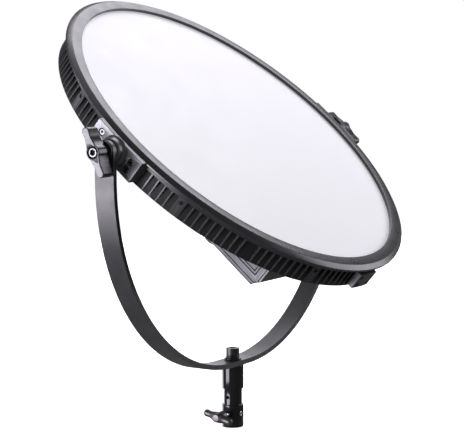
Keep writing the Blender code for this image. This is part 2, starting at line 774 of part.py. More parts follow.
def make_box_cover():
    """Back plate that carries every control."""
    cover = block("control_box_cover",
                  (-BOX_HALF_WIDTH, BOX_BOTTOM + BOX_CHAMFER, BOX_BACK_Z),
                  (BOX_HALF_WIDTH, BOX_TOP, BOX_BACK_Z + COVER_THICKNESS), parent=HEAD)
    for x in (-CONTROL_KNOB_X, CONTROL_KNOB_X):
        drill(cover, 0.0036, -0.07, -0.05, TINY_STEPS, location=(x, CONTROL_KNOB_Y, 0.0),
              parent=HEAD)
    windows = [
        ("display", 0.0, DISPLAY_Y, DISPLAY_HALF),
        ("mode", -BUTTON_PITCH, BUTTON_Y, BUTTON_HALF),
        ("group", 0.0, BUTTON_Y, BUTTON_HALF),
        ("channel", BUTTON_PITCH, BUTTON_Y, BUTTON_HALF),
        ("inlet", INLET_X, SOCKETS_Y, INLET_HALF),
        ("switch", SWITCH_X, SOCKETS_Y, SWITCH_HALF),
    ]
    for word, x, y, half in windows:
        half_x = half[0] + GAP
        half_y = half[1] + GAP
        boolean(cover, block(f"cover_window_{word}", (x - half_x, y - half_y, -0.07),
                             (x + half_x, y + half_y, -0.05), parent=HEAD, cutter=True))
    return finish(cover, BLACK_ANODISED, 0.6, 0.45)


def make_control_knobs():
    """Two knobs on shafts that pass through the cover into their rotary encoders."""
    face = -BOX_BACK_Z
    top = face + 0.0155
    skirt = face + 0.0008
    shaft_r = 0.0030
    shaft_end = face - 0.0065
    half = 0.007
    for x, word in ((-CONTROL_KNOB_X, "brightness"), (CONTROL_KNOB_X, "colour")):
        place = dict(parent=HEAD, location=(x, CONTROL_KNOB_Y, 0.0), rotation=BACKWARDS)
        profile = [
            (0.0, top),
            (CONTROL_KNOB_R - 0.0018, top),
            (CONTROL_KNOB_R - 0.0008, top - 0.0008),
            (CONTROL_KNOB_R, skirt),
            (shaft_r, skirt),
            (shaft_r, shaft_end),
            (0.0, shaft_end),
        ]
        knob = turned(f"{word}_knob", profile, ROUND_STEPS, **place)
        finish(knob, BLACK_PLASTIC, 0.0, 0.45)
        encoder = block(f"{word}_encoder", (-half, -half, face - 0.0095),
                        (half, half, face - COVER_THICKNESS - GAP), **place)
        drill(encoder, shaft_r + 0.0004, shaft_end - 0.0005, face, TINY_STEPS, **place)
        finish(encoder, GREY_METAL, 0.8, 0.4)


def make_display():
    """Dark window flush with the cover, and the display module behind it."""
    half_x, half_y = DISPLAY_HALF
    window = block("display_window", (-half_x, DISPLAY_Y - half_y, BOX_BACK_Z),
                   (half_x, DISPLAY_Y + half_y, BOX_BACK_Z + 0.0018), parent=HEAD)
    finish(window, GLASS_BLACK, 0.0, 0.08)
    half_x -= 0.002
    half_y -= 0.001
    module = block("display_module", (-half_x, DISPLAY_Y - half_y, BOX_BACK_Z + 0.0024),
                   (half_x, DISPLAY_Y + half_y, BOX_BACK_Z + 0.0064), parent=HEAD)
    return finish(module, WHITE, 0.0, 0.4)


def make_buttons():
    """Three keys with an inner flange, which press into the box."""
    half_x, half_y = BUTTON_HALF
    lip = 0.0012
    flange_low = BOX_BACK_Z + 0.0024
    for place, word in ((-1, "mode"), (0, "group"), (1, "channel")):
        x = place * BUTTON_PITCH
        key = block(f"button_{word}", (x - half_x, BUTTON_Y - half_y, BOX_BACK_Z - 0.0018),
                    (x + half_x, BUTTON_Y + half_y, BOX_BACK_Z + 0.006), 0.0005, parent=HEAD)
        flange = block(f"button_{word}_flange",
                       (x - half_x - lip, BUTTON_Y - half_y - lip, flange_low),
                       (x + half_x + lip, BUTTON_Y + half_y + lip, flange_low + 0.0012),
                       parent=HEAD, cutter=True)
        boolean(key, flange, "UNION")
        finish(key, BLACK_PLASTIC, 0.0, 0.5)


def make_flanged_shell(name, half, depth, well_depth, place):
    """Moulded shell that fills a window in the cover, with a flange on it and a well."""
    face = -BOX_BACK_Z
    wall = 0.001
    lip = 0.0015
    shell = block(name, (-half[0], -half[1], face - depth), (half[0], half[1], face + 0.001),
                  **place)
    flange = block(name + "_flange", (-half[0] - lip, -half[1] - lip, face + GAP),
                   (half[0] + lip, half[1] + lip, face + 0.0023), cutter=True, **place)
    boolean(shell, flange, "UNION")
    well = block(name + "_well", (wall - half[0], wall - half[1], face - well_depth),
                 (half[0] - wall, half[1] - wall, face + 0.01), cutter=True, **place)
    boolean(shell, well)
    return finish(shell, BLACK_PLASTIC, 0.0, 0.4)


def make_switch():
    """Rocker switch: a flanged body and its rocking paddle."""
    place = dict(parent=HEAD, location=(SWITCH_X, SOCKETS_Y, 0.0), rotation=BACKWARDS)
    make_flanged_shell("switch_body", SWITCH_HALF, 0.016, 0.0075, place)
    outline = [
        (-0.0078, 0.0028),
        (0.0, 0.0006),
        (0.0078, 0.0028),
        (0.0066, -0.0030),
        (0.0, -0.0048),
        (-0.0066, -0.0030),
    ]
    paddle_turn = Matrix.Rotation(math.radians(-10.0), 4, "X") @ OUT_OF_SIDE_FACE
    paddle = plate("switch_rocker", outline, 0.0098, matrix=paddle_turn, parent=HEAD,
                   location=(SWITCH_X, SOCKETS_Y, BOX_BACK_Z - 0.0005), rotation=BACKWARDS)
    return finish(paddle, BLACK_PLASTIC, 0.0, 0.35)


def make_inlet():
    """Mains inlet: a flanged shell with a deep well, and three flat pins on a common base."""
    place = dict(parent=HEAD, location=(INLET_X, SOCKETS_Y, 0.0), rotation=BACKWARDS)
    well_depth = 0.0165
    make_flanged_shell("power_inlet", INLET_HALF, 0.019, well_depth, place)
    floor = -BOX_BACK_Z - well_depth + GAP
    pins = block("inlet_pins", (-0.009, -0.005, floor), (0.009, 0.005, floor + 0.001), **place)
    half_x = 0.001
    half_y = 0.002
    for word, x, y in (("live", -0.007, -0.002), ("neutral", 0.007, -0.002), ("earth", 0.0, 0.002)):
        pin = block(f"inlet_pin_{word}", (x - half_x, y - half_y, floor + 0.0005),
                    (x + half_x, y + half_y, floor + 0.0135), cutter=True, **place)
        boolean(pins, pin, "UNION")
    return finish(pins, STEEL, 1.0, 0.25)


def make_electronics():
    """Driver board and power supply, which stand clear of the controls inside the box."""
    board = block("driver_board", (-0.080, -0.150, -0.0400), (0.030, -0.070, -0.0384), parent=HEAD)
    finish(board, BOARD_GREEN, 0.0, 0.4)
    supply = block("power_supply_unit", (-0.085, -0.165, -0.0360), (0.085, -0.060, -0.0208),
                   0.001, parent=HEAD)
    return finish(supply, GREY_METAL, 0.8, 0.4)


def main():
    make_yoke()
    make_adapter()
    make_bolt()
    make_lock()
    make_rim()
    make_bezel()
    make_optics()
    make_led_ring()
    make_back_cover()
    for side in (-1, 1):
        make_pivot_block(side)
        make_clamp(side)
    make_joint_plate()
    make_box_shell()
    make_box_cover()
    make_control_knobs()
    make_display()
    make_buttons()
    make_switch()
    make_inlet()
    make_electronics()


main()
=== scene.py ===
"""Looks of the round LED panel light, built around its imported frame.

Every detailed piece takes its place from the CAD node that it stands for. Pieces of the
panel head are modelled in the head's own frame: x along the pivot axis, y up the panel
and z out of its bright face.
"""
import json
from math import asin, atan2, ceil, cos, degrees, pi, radians, sin, sqrt

import bmesh
import bpy
from mathutils import Matrix, Vector


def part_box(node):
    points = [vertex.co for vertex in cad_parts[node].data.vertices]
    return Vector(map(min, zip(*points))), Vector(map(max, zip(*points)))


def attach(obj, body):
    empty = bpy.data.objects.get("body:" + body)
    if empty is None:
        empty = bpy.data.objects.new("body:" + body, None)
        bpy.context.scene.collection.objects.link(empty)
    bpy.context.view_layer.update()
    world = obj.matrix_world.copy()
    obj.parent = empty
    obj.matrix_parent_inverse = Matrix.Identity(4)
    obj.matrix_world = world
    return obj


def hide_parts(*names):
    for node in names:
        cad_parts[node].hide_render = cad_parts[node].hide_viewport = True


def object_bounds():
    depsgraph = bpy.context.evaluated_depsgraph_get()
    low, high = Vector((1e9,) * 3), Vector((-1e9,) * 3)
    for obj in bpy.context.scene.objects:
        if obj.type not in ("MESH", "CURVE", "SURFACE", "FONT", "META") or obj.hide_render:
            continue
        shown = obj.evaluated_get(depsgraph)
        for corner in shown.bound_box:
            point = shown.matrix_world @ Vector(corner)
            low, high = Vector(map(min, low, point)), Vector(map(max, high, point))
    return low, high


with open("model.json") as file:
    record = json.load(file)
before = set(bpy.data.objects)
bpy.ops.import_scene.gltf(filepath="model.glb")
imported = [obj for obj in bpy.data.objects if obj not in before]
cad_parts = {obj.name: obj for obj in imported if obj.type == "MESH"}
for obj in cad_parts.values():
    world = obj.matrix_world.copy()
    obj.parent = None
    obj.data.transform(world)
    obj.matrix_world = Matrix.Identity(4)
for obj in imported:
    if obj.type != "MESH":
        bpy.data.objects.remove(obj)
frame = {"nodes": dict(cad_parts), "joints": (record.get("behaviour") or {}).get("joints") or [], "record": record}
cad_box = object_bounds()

IDENTITY = Matrix.Identity(4)
WHITE = (1.0, 1.0, 1.0, 1.0)
NODES = frame["nodes"]
JOINTS = {joint["name"]: joint for joint in frame["joints"]}
MOUNTS = {mount["name"]: mount for mount in frame["record"]["mounts"]}

# The head's frame, from its tilt joint and the way that its bezel faces
PIVOT = Vector(JOINTS["panel_tilt"]["pos_m"])
FACING = Vector(MOUNTS["bezel_face"]["axis"])
LEAN = atan2(-FACING.y, FACING.z)
HEAD = Matrix.Translation(PIVOT) @ Matrix.Rotation(LEAN, 4, "X")

# Fitting gap, how far a cutter runs past a surface, and the holes that several pieces share
GAP = 0.0003
BEYOND = 0.01
STUD_HOLE_R = 0.0043
BOLT_HOLE_R = 0.0053


def extent(node, space=IDENTITY):
    """Lowest and highest corner of a CAD node, seen in a frame."""
    inverse = space.inverted()
    points = [inverse @ vert.co for vert in NODES[node].data.vertices]
    low = Vector([min(point[axis] for point in points) for axis in range(3)])
    high = Vector([max(point[axis] for point in points) for axis in range(3)])
    return low, high


def spot(x, y, z, turn=0.0, axis="X"):
    """Frame at a point, turned about one axis by an angle in degrees."""
    return Matrix.Translation((x, y, z)) @ Matrix.Rotation(radians(turn), 4, axis)


def side_frame(side):
    """Frame at the pivot whose z points out along side * X."""
    return Matrix.Translation(PIVOT) @ Matrix.Rotation(side * pi / 2, 4, "Y")


def side_name(side):
    return "left" if side < 0 else "right"


# Materials

class Shader:
    """A Principled material under construction, with its texture coordinates."""

    def __init__(self, name):
        self.material = bpy.data.materials.new(name)
        self.material.use_nodes = True
        self.tree = self.material.node_tree
        self.bsdf = self.tree.nodes["Principled BSDF"]
        self.coords = self.node("TexCoord").outputs["Object"]

    def node(self, kind, **inputs):
        made = self.tree.nodes.new("ShaderNode" + kind)
        for key, value in inputs.items():
            made.inputs[key.replace("_", " ")].default_value = value
        return made

    def link(self, output, target):
        self.tree.links.new(output, target)

    def noise(self, scale, detail=2.0, stretch=None):
        """Noise in the object's own space, drawn out where stretch is under 1."""
        made = self.node("TexNoise", Scale=scale, Detail=detail)
        source = self.coords
        if stretch is not None:
            mapping = self.node("Mapping", Scale=stretch)
            self.link(source, mapping.inputs["Vector"])
            source = mapping.outputs["Vector"]
        self.link(source, made.inputs["Vector"])
        return made.outputs["Fac"]

    def spread(self, value, low, high, start=0.3, end=0.7):
        """Map a value from start..end to low..high."""
        made = self.node("MapRange", From_Min=start, From_Max=end, To_Min=low,
                         To_Max=high)
        self.link(value, made.inputs["Value"])
        return made.outputs["Result"]

    def mix(self, factor, first, second):
        """Blend two colours, either of which may be a socket."""
        made = self.node("Mix")
        made.data_type = "RGBA"
        self.link(factor, made.inputs[0])
        for value, target in ((first, made.inputs[6]), (second, made.inputs[7])):
            if isinstance(value, bpy.types.NodeSocket):
                self.link(value, target)
            else:
                target.default_value = value
        return made.outputs[2]

    def bump(self, height, distance):
        made = self.node("Bump", Strength=1.0, Distance=distance)
        self.link(height, made.inputs["Height"])
        return made.outputs["Normal"]


def shade(color, factor):
    return tuple(min(1.0, channel * factor) for channel in color[:3]) + (1.0,)


def surface(name, color, metallic, roughness, mottle=0.15, grain=1500.0, relief=0.00004,
            wear_and_highlight=0.0, stretch=None, coat=0.0, coat_roughness=0.1, specular=0.5):
    """A finish with uneven tone, uneven gloss, a fine relief and lighter edges, partly wear and partly a painted
    highlight where edges catch the light.
    """
    shader = Shader(name)
    bsdf = shader.bsdf
    bsdf.inputs["Metallic"].default_value = metallic
    bsdf.inputs["Coat Weight"].default_value = coat
    bsdf.inputs["Coat Roughness"].default_value = coat_roughness
    bsdf.inputs["Specular IOR Level"].default_value = specular
    broad = shader.noise(18.0, 4.0)
    tone = shader.mix(shader.spread(broad, 0.0, 1.0), shade(color, 1.0 - mottle),
                      shade(color, 1.0 + mottle))
    fine = shader.noise(grain, 3.0, stretch)
    tone = shader.mix(shader.spread(fine, 0.0, 0.35), tone, shade(color, 1.0 + 2.0 * mottle))
    # Lighter convex edges: partly wear, partly a painted highlight that stands in for light caught by the edges.
    if wear_and_highlight > 0.0:
        edge = shader.node("NewGeometry").outputs["Pointiness"]
        rubbed_or_lit = shader.node("Math")
        rubbed_or_lit.operation = "MULTIPLY"
        shader.link(shader.spread(edge, 0.0, 1.0, 0.53, 0.64), rubbed_or_lit.inputs[0])
        patches = shader.noise(60.0, 3.0)
        shader.link(shader.spread(patches, 0.0, wear_and_highlight, 0.4, 0.65), rubbed_or_lit.inputs[1])
        bare_or_lit = tuple(channel + 0.22 for channel in color[:3]) + (1.0,)
        tone = shader.mix(rubbed_or_lit.outputs[0], tone, bare_or_lit)
    shader.link(tone, bsdf.inputs["Base Color"])
    uneven = shader.noise(45.0, 3.0, stretch)
    shader.link(shader.spread(uneven, roughness * 0.85, roughness * 1.15), bsdf.inputs["Roughness"])
    shader.link(shader.bump(fine, relief), bsdf.inputs["Normal"])
    return shader.material


def opal_sheet(name, radius):
    """Opal acrylic lit from its edge: even, with painted shade that makes it slightly cooler and dimmer towards
    the rim, under the bezel's lip.
    """
    shader = Shader(name)
    bsdf = shader.bsdf
    bsdf.inputs["Base Color"].default_value = (0.79, 0.79, 0.815, 1.0)
    bsdf.inputs["Specular IOR Level"].default_value = 0.35
    flat = shader.node("VectorMath")
    flat.operation = "MULTIPLY"
    flat.inputs[1].default_value = (1.0, 1.0, 0.0)
    shader.link(shader.coords, flat.inputs[0])
    distance = shader.node("VectorMath")
    distance.operation = "LENGTH"
    shader.link(flat.outputs[0], distance.inputs[0])
    reach = distance.outputs["Value"]
    # Painted shade: the glow dims and cools over the outer twentieth of the radius, near the bezel's lip.
    edge = shader.spread(reach, 0.0, 1.0, radius * 0.95, radius)
    light = shader.mix(edge, (0.93, 0.925, 0.945, 1.0), (0.835, 0.83, 0.86, 1.0))
    shader.link(light, bsdf.inputs["Emission Color"])
    bsdf.inputs["Emission Strength"].default_value = 0.315
    fine = shader.noise(2600.0, 2.0)
    shader.link(shader.spread(shader.noise(30.0), 0.36, 0.46), bsdf.inputs["Roughness"])
    shader.link(shader.bump(fine, 0.00003), bsdf.inputs["Normal"])
    return shader.material


def clear_sheet(name):
    shader = Shader(name)
    bsdf = shader.bsdf
    bsdf.inputs["Transmission Weight"].default_value = 0.9
    bsdf.inputs["IOR"].default_value = 1.49
    tone = shader.mix(shader.noise(25.0), (0.86, 0.9, 0.92, 1.0), (0.92, 0.94, 0.95, 1.0))
    shader.link(tone, bsdf.inputs["Base Color"])
    dots = shader.node("TexVoronoi", Scale=420.0)
    shader.link(shader.coords, dots.inputs["Vector"])
    shader.link(shader.spread(dots.outputs["Distance"], 0.3, 0.05, 0.2, 0.5),
                bsdf.inputs["Roughness"])
    shader.link(shader.bump(dots.outputs["Distance"], 0.0001), bsdf.inputs["Normal"])
    return shader.material


def circuit_board(name):
    """Green lacquer over tracks."""
    shader = Shader(name)
    bricks = shader.node("TexBrick", Scale=220.0, Mortar_Size=0.035)
    bricks.inputs["Color1"].default_value = (0.012, 0.1, 0.045, 1.0)
    bricks.inputs["Color2"].default_value = (0.016, 0.13, 0.055, 1.0)
    bricks.inputs["Mortar"].default_value = (0.05, 0.24, 0.11, 1.0)
    shader.link(shader.coords, bricks.inputs["Vector"])
    shader.link(bricks.outputs["Color"], shader.bsdf.inputs["Base Color"])
    shader.link(shader.spread(shader.noise(80.0), 0.25, 0.4), shader.bsdf.inputs["Roughness"])
    shader.link(shader.bump(bricks.outputs["Fac"], 0.00005), shader.bsdf.inputs["Normal"])
    return shader.material


LATHE_MARKS = (12.0, 12.0, 2400.0)

ANODISED = surface("anodised_black", (0.02, 0.02, 0.022), 0.0, 0.36, wear_and_highlight=0.25, specular=0.55)
ANODISED_SATIN = surface("anodised_satin", (0.026, 0.026, 0.029), 0.0, 0.29, mottle=0.1,
                         wear_and_highlight=0.05, relief=0.00001, specular=0.65)
GLOSS_BLACK = surface("anodised_gloss_black", (0.008, 0.008, 0.009), 0.0, 0.11, wear_and_highlight=0.2,
                      relief=0.00001, grain=1.0, stretch=LATHE_MARKS, specular=0.42)
PAINT = surface("painted_black", (0.026, 0.026, 0.028), 0.0, 0.38, grain=1100.0,
                relief=0.00006, wear_and_highlight=0.3, specular=0.6)
OXIDE = surface("black_oxide", (0.05, 0.05, 0.053), 0.6, 0.27, wear_and_highlight=0.4, relief=0.00001)
GREY = surface("satin_grey", (0.115, 0.112, 0.12), 0.45, 0.33, mottle=0.06, wear_and_highlight=0.35)
GREY_SIDE = surface("satin_grey_plate", (0.08, 0.079, 0.088), 0.4, 0.42, mottle=0.06, wear_and_highlight=0.4)
GUNMETAL = surface("gunmetal", (0.115, 0.105, 0.11), 0.8, 0.36, mottle=0.12, wear_and_highlight=0.6,
                   grain=500.0, relief=0.00008)
STEEL = surface("steel", (0.6, 0.6, 0.62), 1.0, 0.22, mottle=0.05, grain=1.0,
                stretch=LATHE_MARKS, relief=0.00001)
ZINC = surface("grey_zinc", (0.15, 0.15, 0.155), 0.9, 0.3, mottle=0.05, relief=0.00001)
SOCKET = surface("socket_shadow", (0.006, 0.006, 0.006), 0.0, 0.7, relief=0.00001, specular=0.1)
# Lighter copy of the anodised black for the fin tops: a painted highlight.
FIN = surface("anodised_fin_tops_painted_highlight", (0.06, 0.059, 0.063), 0.3, 0.3, wear_and_highlight=0.3)
# Darker copy for the groove floors and fin sides: painted shade in the grooves.
GROOVE = surface("anodised_grooves_painted_shade", (0.012, 0.012, 0.013), 0.0, 0.45, specular=0.35)
# Darker copy of the satin grey for the knob's flanks: painted shade.
KNOB_SIDE_SHADE = surface("satin_grey_sides_painted_shade", (0.03, 0.029, 0.033), 0.3, 0.24, mottle=0.06, wear_and_highlight=0.3)
BLOCK = surface("anodised_block", (0.15, 0.147, 0.156), 0.55, 0.36, mottle=0.08, wear_and_highlight=0.3)
BRASS = surface("brass", (0.62, 0.45, 0.18), 1.0, 0.3, mottle=0.08, relief=0.00002)
PLASTIC = surface("black_plastic", (0.014, 0.014, 0.015), 0.0, 0.45, grain=1800.0,
                  relief=0.00005, wear_and_highlight=0.15)
RUBBER = surface("black_washer", (0.01, 0.01, 0.011), 0.0, 0.6, grain=900.0, relief=0.00005)
GLASS = surface("dark_glass", (0.006, 0.006, 0.008), 0.0, 0.06, mottle=0.3, relief=0.000004,
                coat=1.0, coat_roughness=0.03)
FILM = surface("white_film", (0.8, 0.8, 0.79), 0.0, 0.5, mottle=0.03, relief=0.00002)
MARK = surface("mark_white", (0.62, 0.62, 0.6), 0.0, 0.5, mottle=0.05, relief=0.00001)
CLEAR = clear_sheet("clear_acrylic")
BOARD = circuit_board("circuit")
OPAL = opal_sheet("opal", extent("front_bezel", HEAD)[1].x * 0.92)


# Building tools

def dress(obj, material, slot, *nodes, body="panel_head"):
    """Give a piece its finish and its body, and hide the CAD nodes that it stands for."""
    obj.data.materials.clear()
    obj.data.materials.append(material)
    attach(obj, body)
    if nodes:
        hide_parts(*nodes)
    return obj


def add_object(name, bm, space=IDENTITY):
    """Object with smooth shading from a finished bmesh, its faces pointing out."""
    mesh = bpy.data.meshes.new(name)
    bmesh.ops.recalc_face_normals(bm, faces=bm.faces)
    bm.to_mesh(mesh)
    bm.free()
    mesh.shade_smooth()
    obj = bpy.data.objects.new(name, mesh)
    obj.matrix_world = space
    bpy.context.scene.collection.objects.link(obj)
    return obj


def ease_edges(obj, width, segments=2, angle=32.0):
    """Round every edge sharper than an angle, and keep the flats flat."""
    rounding = obj.modifiers.new("Edges", "BEVEL")
    rounding.width = width
    rounding.segments = segments
    rounding.limit_method = "ANGLE"
    rounding.angle_limit = radians(angle)
    rounding.harden_normals = True
    return obj


def settle(obj):
    """Apply the object's modifiers."""
    bpy.context.view_layer.update()
    evaluated = obj.evaluated_get(bpy.context.evaluated_depsgraph_get())
    mesh = bpy.data.meshes.new_from_object(evaluated)
    obj.modifiers.clear()
    obj.data = mesh
    return obj


def carve(obj, *tools, operation="DIFFERENCE"):
    """Cut tools out of a piece, or join them to it, and remove the tools."""
    for tool in tools:
        change = obj.modifiers.new(tool.name, "BOOLEAN")
        change.operation = operation
        change.object = tool
    settle(obj)
    for tool in tools:
        bpy.data.objects.remove(tool, do_unlink=True)
    obj.data.shade_smooth()
    return obj


def soften(points, radius, closed=False, steps=3):
    """Round the corners of a profile, each by its own third value or else by radius."""
    count = len(points)
    result = []
    for index, point in enumerate(points):
        here = Vector(point[:2])
        at_end = not closed and index in (0, count - 1)
        reach = point[2] if len(point) > 2 else radius
        before = Vector(points[index - 1][:2]) - here
        after = Vector(points[(index + 1) % count][:2]) - here
        reach = min(reach, before.length * 0.45, after.length * 0.45)
        if at_end or reach < 0.00001:
            result.append((here.x, here.y))
            continue
        start = here + before.normalized() * reach
        end = here + after.normalized() * reach
        for step in range(steps + 1):
            t = step / steps
            spot = start * (1 - t) ** 2 + here * 2 * t * (1 - t) + end * t * t
            result.append((spot.x, spot.y))
    return result


def corner_ring(bm, section, angle):
    """Corners of a section of (radius, height) points, turned about z."""
    return [bm.verts.new((r * cos(angle), r * sin(angle), z)) for r, z in section]


def bridge(bm, here, following, closed=True):
    """Faces between two rings of corners, triangles where they share a corner."""
    faces = []
    for index in range(len(here) if closed else len(here) - 1):
        other = (index + 1) % len(here)
        corners = (here[index], here[other], following[other], following[index])
        corners = list(dict.fromkeys(corners))
        if len(corners) > 2:
            faces.append(bm.faces.new(corners))
    return faces


def lathe(name, profile, steps, space=IDENTITY, closed=False, fluting=None):
    """Turn a profile of (radius, height) points about z.

    A point's third value rounds its corner. Fluting scales a radius by step and height.
    """
    profile = soften(profile, 0.0, closed)
    bm = bmesh.new()
    rings = []
    for step in range(steps):
        angle = 2 * pi * step / steps
        ring = []
        for index, (radius, height) in enumerate(profile):
            if radius < 1e-7:
                if step == 0:
                    ring.append(bm.verts.new((0.0, 0.0, height)))
                else:
                    ring.append(rings[0][index])
                continue
            scaled = radius * (fluting(step, radius, height) if fluting else 1.0)
            ring.append(bm.verts.new((scaled * cos(angle), scaled * sin(angle), height)))
        rings.append(ring)
    for here, following in zip(rings, rings[1:] + rings[:1]):
        bridge(bm, here, following, closed)
    return add_object(name, bm, space)


def knurling(inner_r, low, high, depth, period, sunk):
    """Fluting that sinks the first steps of every period in a band of a turned piece."""
    def share(step, radius, height):
        rough = radius > inner_r and low - 0.0001 < height < high + 0.0001
        return 1.0 - depth if rough and step % period < sunk else 1.0
    return share


def prism(name, outline, low, high, space=IDENTITY, soft=0.0, segments=2):
    """An outline of (x, y) points drawn out from z = low to z = high."""
    bm = bmesh.new()
    base = [bm.verts.new((x, y, low)) for x, y in outline]
    face = bm.faces.new(base)
    made = bmesh.ops.extrude_face_region(bm, geom=[face])["geom"]
    for item in made:
        if isinstance(item, bmesh.types.BMVert):
            item.co.z = high
    bm.faces.ensure_lookup_table()
    obj = add_object(name, bm, space)
    if soft > 0.0:
        ease_edges(obj, soft, segments)
    return obj


def rectangle(low, high):
    """Outline of a rectangle between two (x, y) corners."""
    return [(low[0], low[1]), (high[0], low[1]), (high[0], high[1]), (low[0], high[1])]


def rounded(low, high, corner):
    """Outline of a rectangle with rounded corners."""
    return soften(rectangle(low, high), corner, closed=True)


def box(name, low, high, space=IDENTITY, soft=0.0005, segments=2):
    return prism(name, rectangle(low, high), low[2], high[2], space, soft, segments)


def rod(name, radius, low, high, space=IDENTITY, steps=32):
    """A plain cutter along z."""
    outline = [(radius * cos(2 * pi * step / steps),
                radius * sin(2 * pi * step / steps)) for step in range(steps)]
    return prism(name, outline, low, high, space)


def arc(centre, radius, start, end, steps):
    """Points on an arc, angles in degrees."""
    points = []
    for step in range(steps + 1):
        angle = radians(start + (end - start) * step / steps)
        points.append((centre[0] + radius * cos(angle), centre[1] + radius * sin(angle)))
    return points


def hexagon(across_flats):
    return arc((0.0, 0.0), across_flats / sqrt(3.0), 0, 300, 5)


def socket_screw(name, head_r, head_height, shank_r, length, across, space, material, slot,
                 *nodes, body="panel_head"):
    """Screw with a hex socket. The underside of its head is at z = 0."""
    edge = head_r * 0.12
    profile = soften([(0.0, head_height), (head_r, head_height, edge), (head_r, 0.0, edge / 2),
                      (shank_r, 0.0), (shank_r, -length), (0.0, -length)], edge)
    screw = lathe(name, profile, 40, space)
    depth = head_height * 0.55
    hole = prism(name + "_socket", hexagon(across), head_height - depth, head_height + BEYOND,
                 space)
    carve(screw, hole)
    dress(screw, material, slot, *nodes, body=body)
    screw.data.materials.append(SOCKET)
    reach = across / sqrt(3.0) + 0.00005
    # Faces inside the hex socket get the black socket_shadow: painted shadow.
    for face in screw.data.polygons:
        inside = face.center.xy.length < reach and face.center.z < head_height - 0.00005
        if inside and face.center.z > head_height - depth - 0.00005:
            face.material_index = 1
    ease_edges(screw, edge * 0.35, 1, 50.0)
    return screw


# Yoke and stand adapter

YOKE_LEG = 0.029
YOKE_BEND_STEPS = 72


def make_yoke():
    """U of flat bar with eased edges and rounded arm ends."""
    low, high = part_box("yoke")
    half_span = high.x
    half_width = high.y
    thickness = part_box("adapter_washer")[0].z - GAP - low.z
    bend_z = PIVOT.z - YOKE_LEG
    bend_r = bend_z - low.z
    flat_half = half_span - bend_r
    inner_r = bend_r - thickness
    arm_inner = half_span - thickness
    outline = [(half_span, high.z)]
    outline += arc((flat_half, bend_z), bend_r, 0, -90, YOKE_BEND_STEPS)
    outline += arc((-flat_half, bend_z), bend_r, -90, -180, YOKE_BEND_STEPS)
    outline += [(-half_span, high.z), (-arm_inner, high.z)]
    outline += arc((-flat_half, bend_z), inner_r, -180, -90, YOKE_BEND_STEPS)
    outline += arc((flat_half, bend_z), inner_r, -90, 0, YOKE_BEND_STEPS)
    outline += [(arm_inner, high.z)]
    yoke = prism("yoke_bar", outline, -half_width, half_width, spot(0.0, 0.0, 0.0, 90.0))
    cutters = []
    for side in (-1, 1):
        space = side_frame(side)
        corner = rectangle((-0.02, -0.02), (0.0, 0.02))
        if side < 0:
            corner = [(-x, y) for x, y in corner]
        end = prism(f"arm_end_{side}", corner, arm_inner - 0.002, half_span + 0.002, space)
        carve(end, rod(f"arm_keep_{side}", half_width - 0.0001, arm_inner - 0.003,
                       half_span + 0.003, space, 64))
        cutters += [end, rod(f"stud_hole_{side}", STUD_HOLE_R, arm_inner - BEYOND,
                             half_span + BEYOND, space)]
    cutters.append(rod("bolt_hole", BOLT_HOLE_R, low.z - BEYOND, low.z + 2 * BEYOND))
    carve(yoke, *cutters)
    ease_edges(yoke, 0.0007, 2, 40.0)
    dress(yoke, PAINT, "painted_black", "yoke", body="stand_yoke")


WAIST_R = 0.0114
WAIST_BOTTOM = 0.0276
WAIST_TOP = 0.0476
SOCKET_R = 0.0081
SOCKET_DEPTH = 0.046
BOLT_HOLE_DEPTH = 0.0237
SAFETY_HOLE_Z = 0.0371
HOLE_IN = 0.005
HOLE_OUT = 0.02
STOP_SCREW_R = 0.003
STOP_SCREW_IN = 0.0088
STOP_SCREW_OUT = 0.0124


def make_adapter():
    """Turned stand adapter with its waist, socket and three cross holes, and its stop screw."""
    low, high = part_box("stand_adapter")
    outer = high.x
    fine = 0.0004
    bolt_floor = high.z - BOLT_HOLE_DEPTH
    adapter = lathe("stand_adapter_body", [
        (0.0, bolt_floor), (BOLT_HOLE_R, bolt_floor), (BOLT_HOLE_R, high.z, fine),
        (outer, high.z, fine), (outer, WAIST_TOP, fine), (WAIST_R, WAIST_TOP, fine),
        (WAIST_R, WAIST_BOTTOM, fine), (outer, WAIST_BOTTOM, fine), (outer, low.z, 0.0014),
        (SOCKET_R, low.z, 0.0008), (SOCKET_R, SOCKET_DEPTH), (0.0, SOCKET_DEPTH)], 128)
    lock_z = JOINTS["stand_lock_turn"]["pos_m"][2]
    to_lock = spot(0.0, 0.0, lock_z, -90.0, "Y")
    to_stop = spot(0.0, 0.0, lock_z, 90.0)
    to_safety = spot(0.0, 0.0, SAFETY_HOLE_Z, -90.0, "Y")
    carve(adapter,
          rod("lock_hole", 0.0043, HOLE_IN, HOLE_OUT, to_lock),
          rod("stop_hole", 0.0034, HOLE_IN, HOLE_OUT, to_stop),
          rod("stop_sink", 0.0056, 0.0112, HOLE_OUT, to_stop),
          rod("safety_hole", 0.0022, HOLE_IN, HOLE_OUT, to_safety))
    ease_edges(adapter, 0.00025, 2, 40.0)
    dress(adapter, GLOSS_BLACK, "anodised_black", "stand_adapter", body="stand_yoke")
    stop = lathe("stop_screw_body", [
        (0.0, STOP_SCREW_OUT), (STOP_SCREW_R, STOP_SCREW_OUT, 0.0006),
        (STOP_SCREW_R, STOP_SCREW_IN), (0.0, STOP_SCREW_IN)], 32, to_stop)
    carve(stop, prism("stop_socket", hexagon(0.003), 0.0104, HOLE_OUT, to_stop))
    dress(stop, STEEL, "steel", "stop_screw", body="stand_yoke")
    return to_lock


SPLIT_OPENING = radians(8.0)
SPLIT_LIFT = 0.0004
SPLIT_STEPS = 60
BOLT_SHANK_R = 0.0049
BOLT_KNURL_DEPTH = 0.022


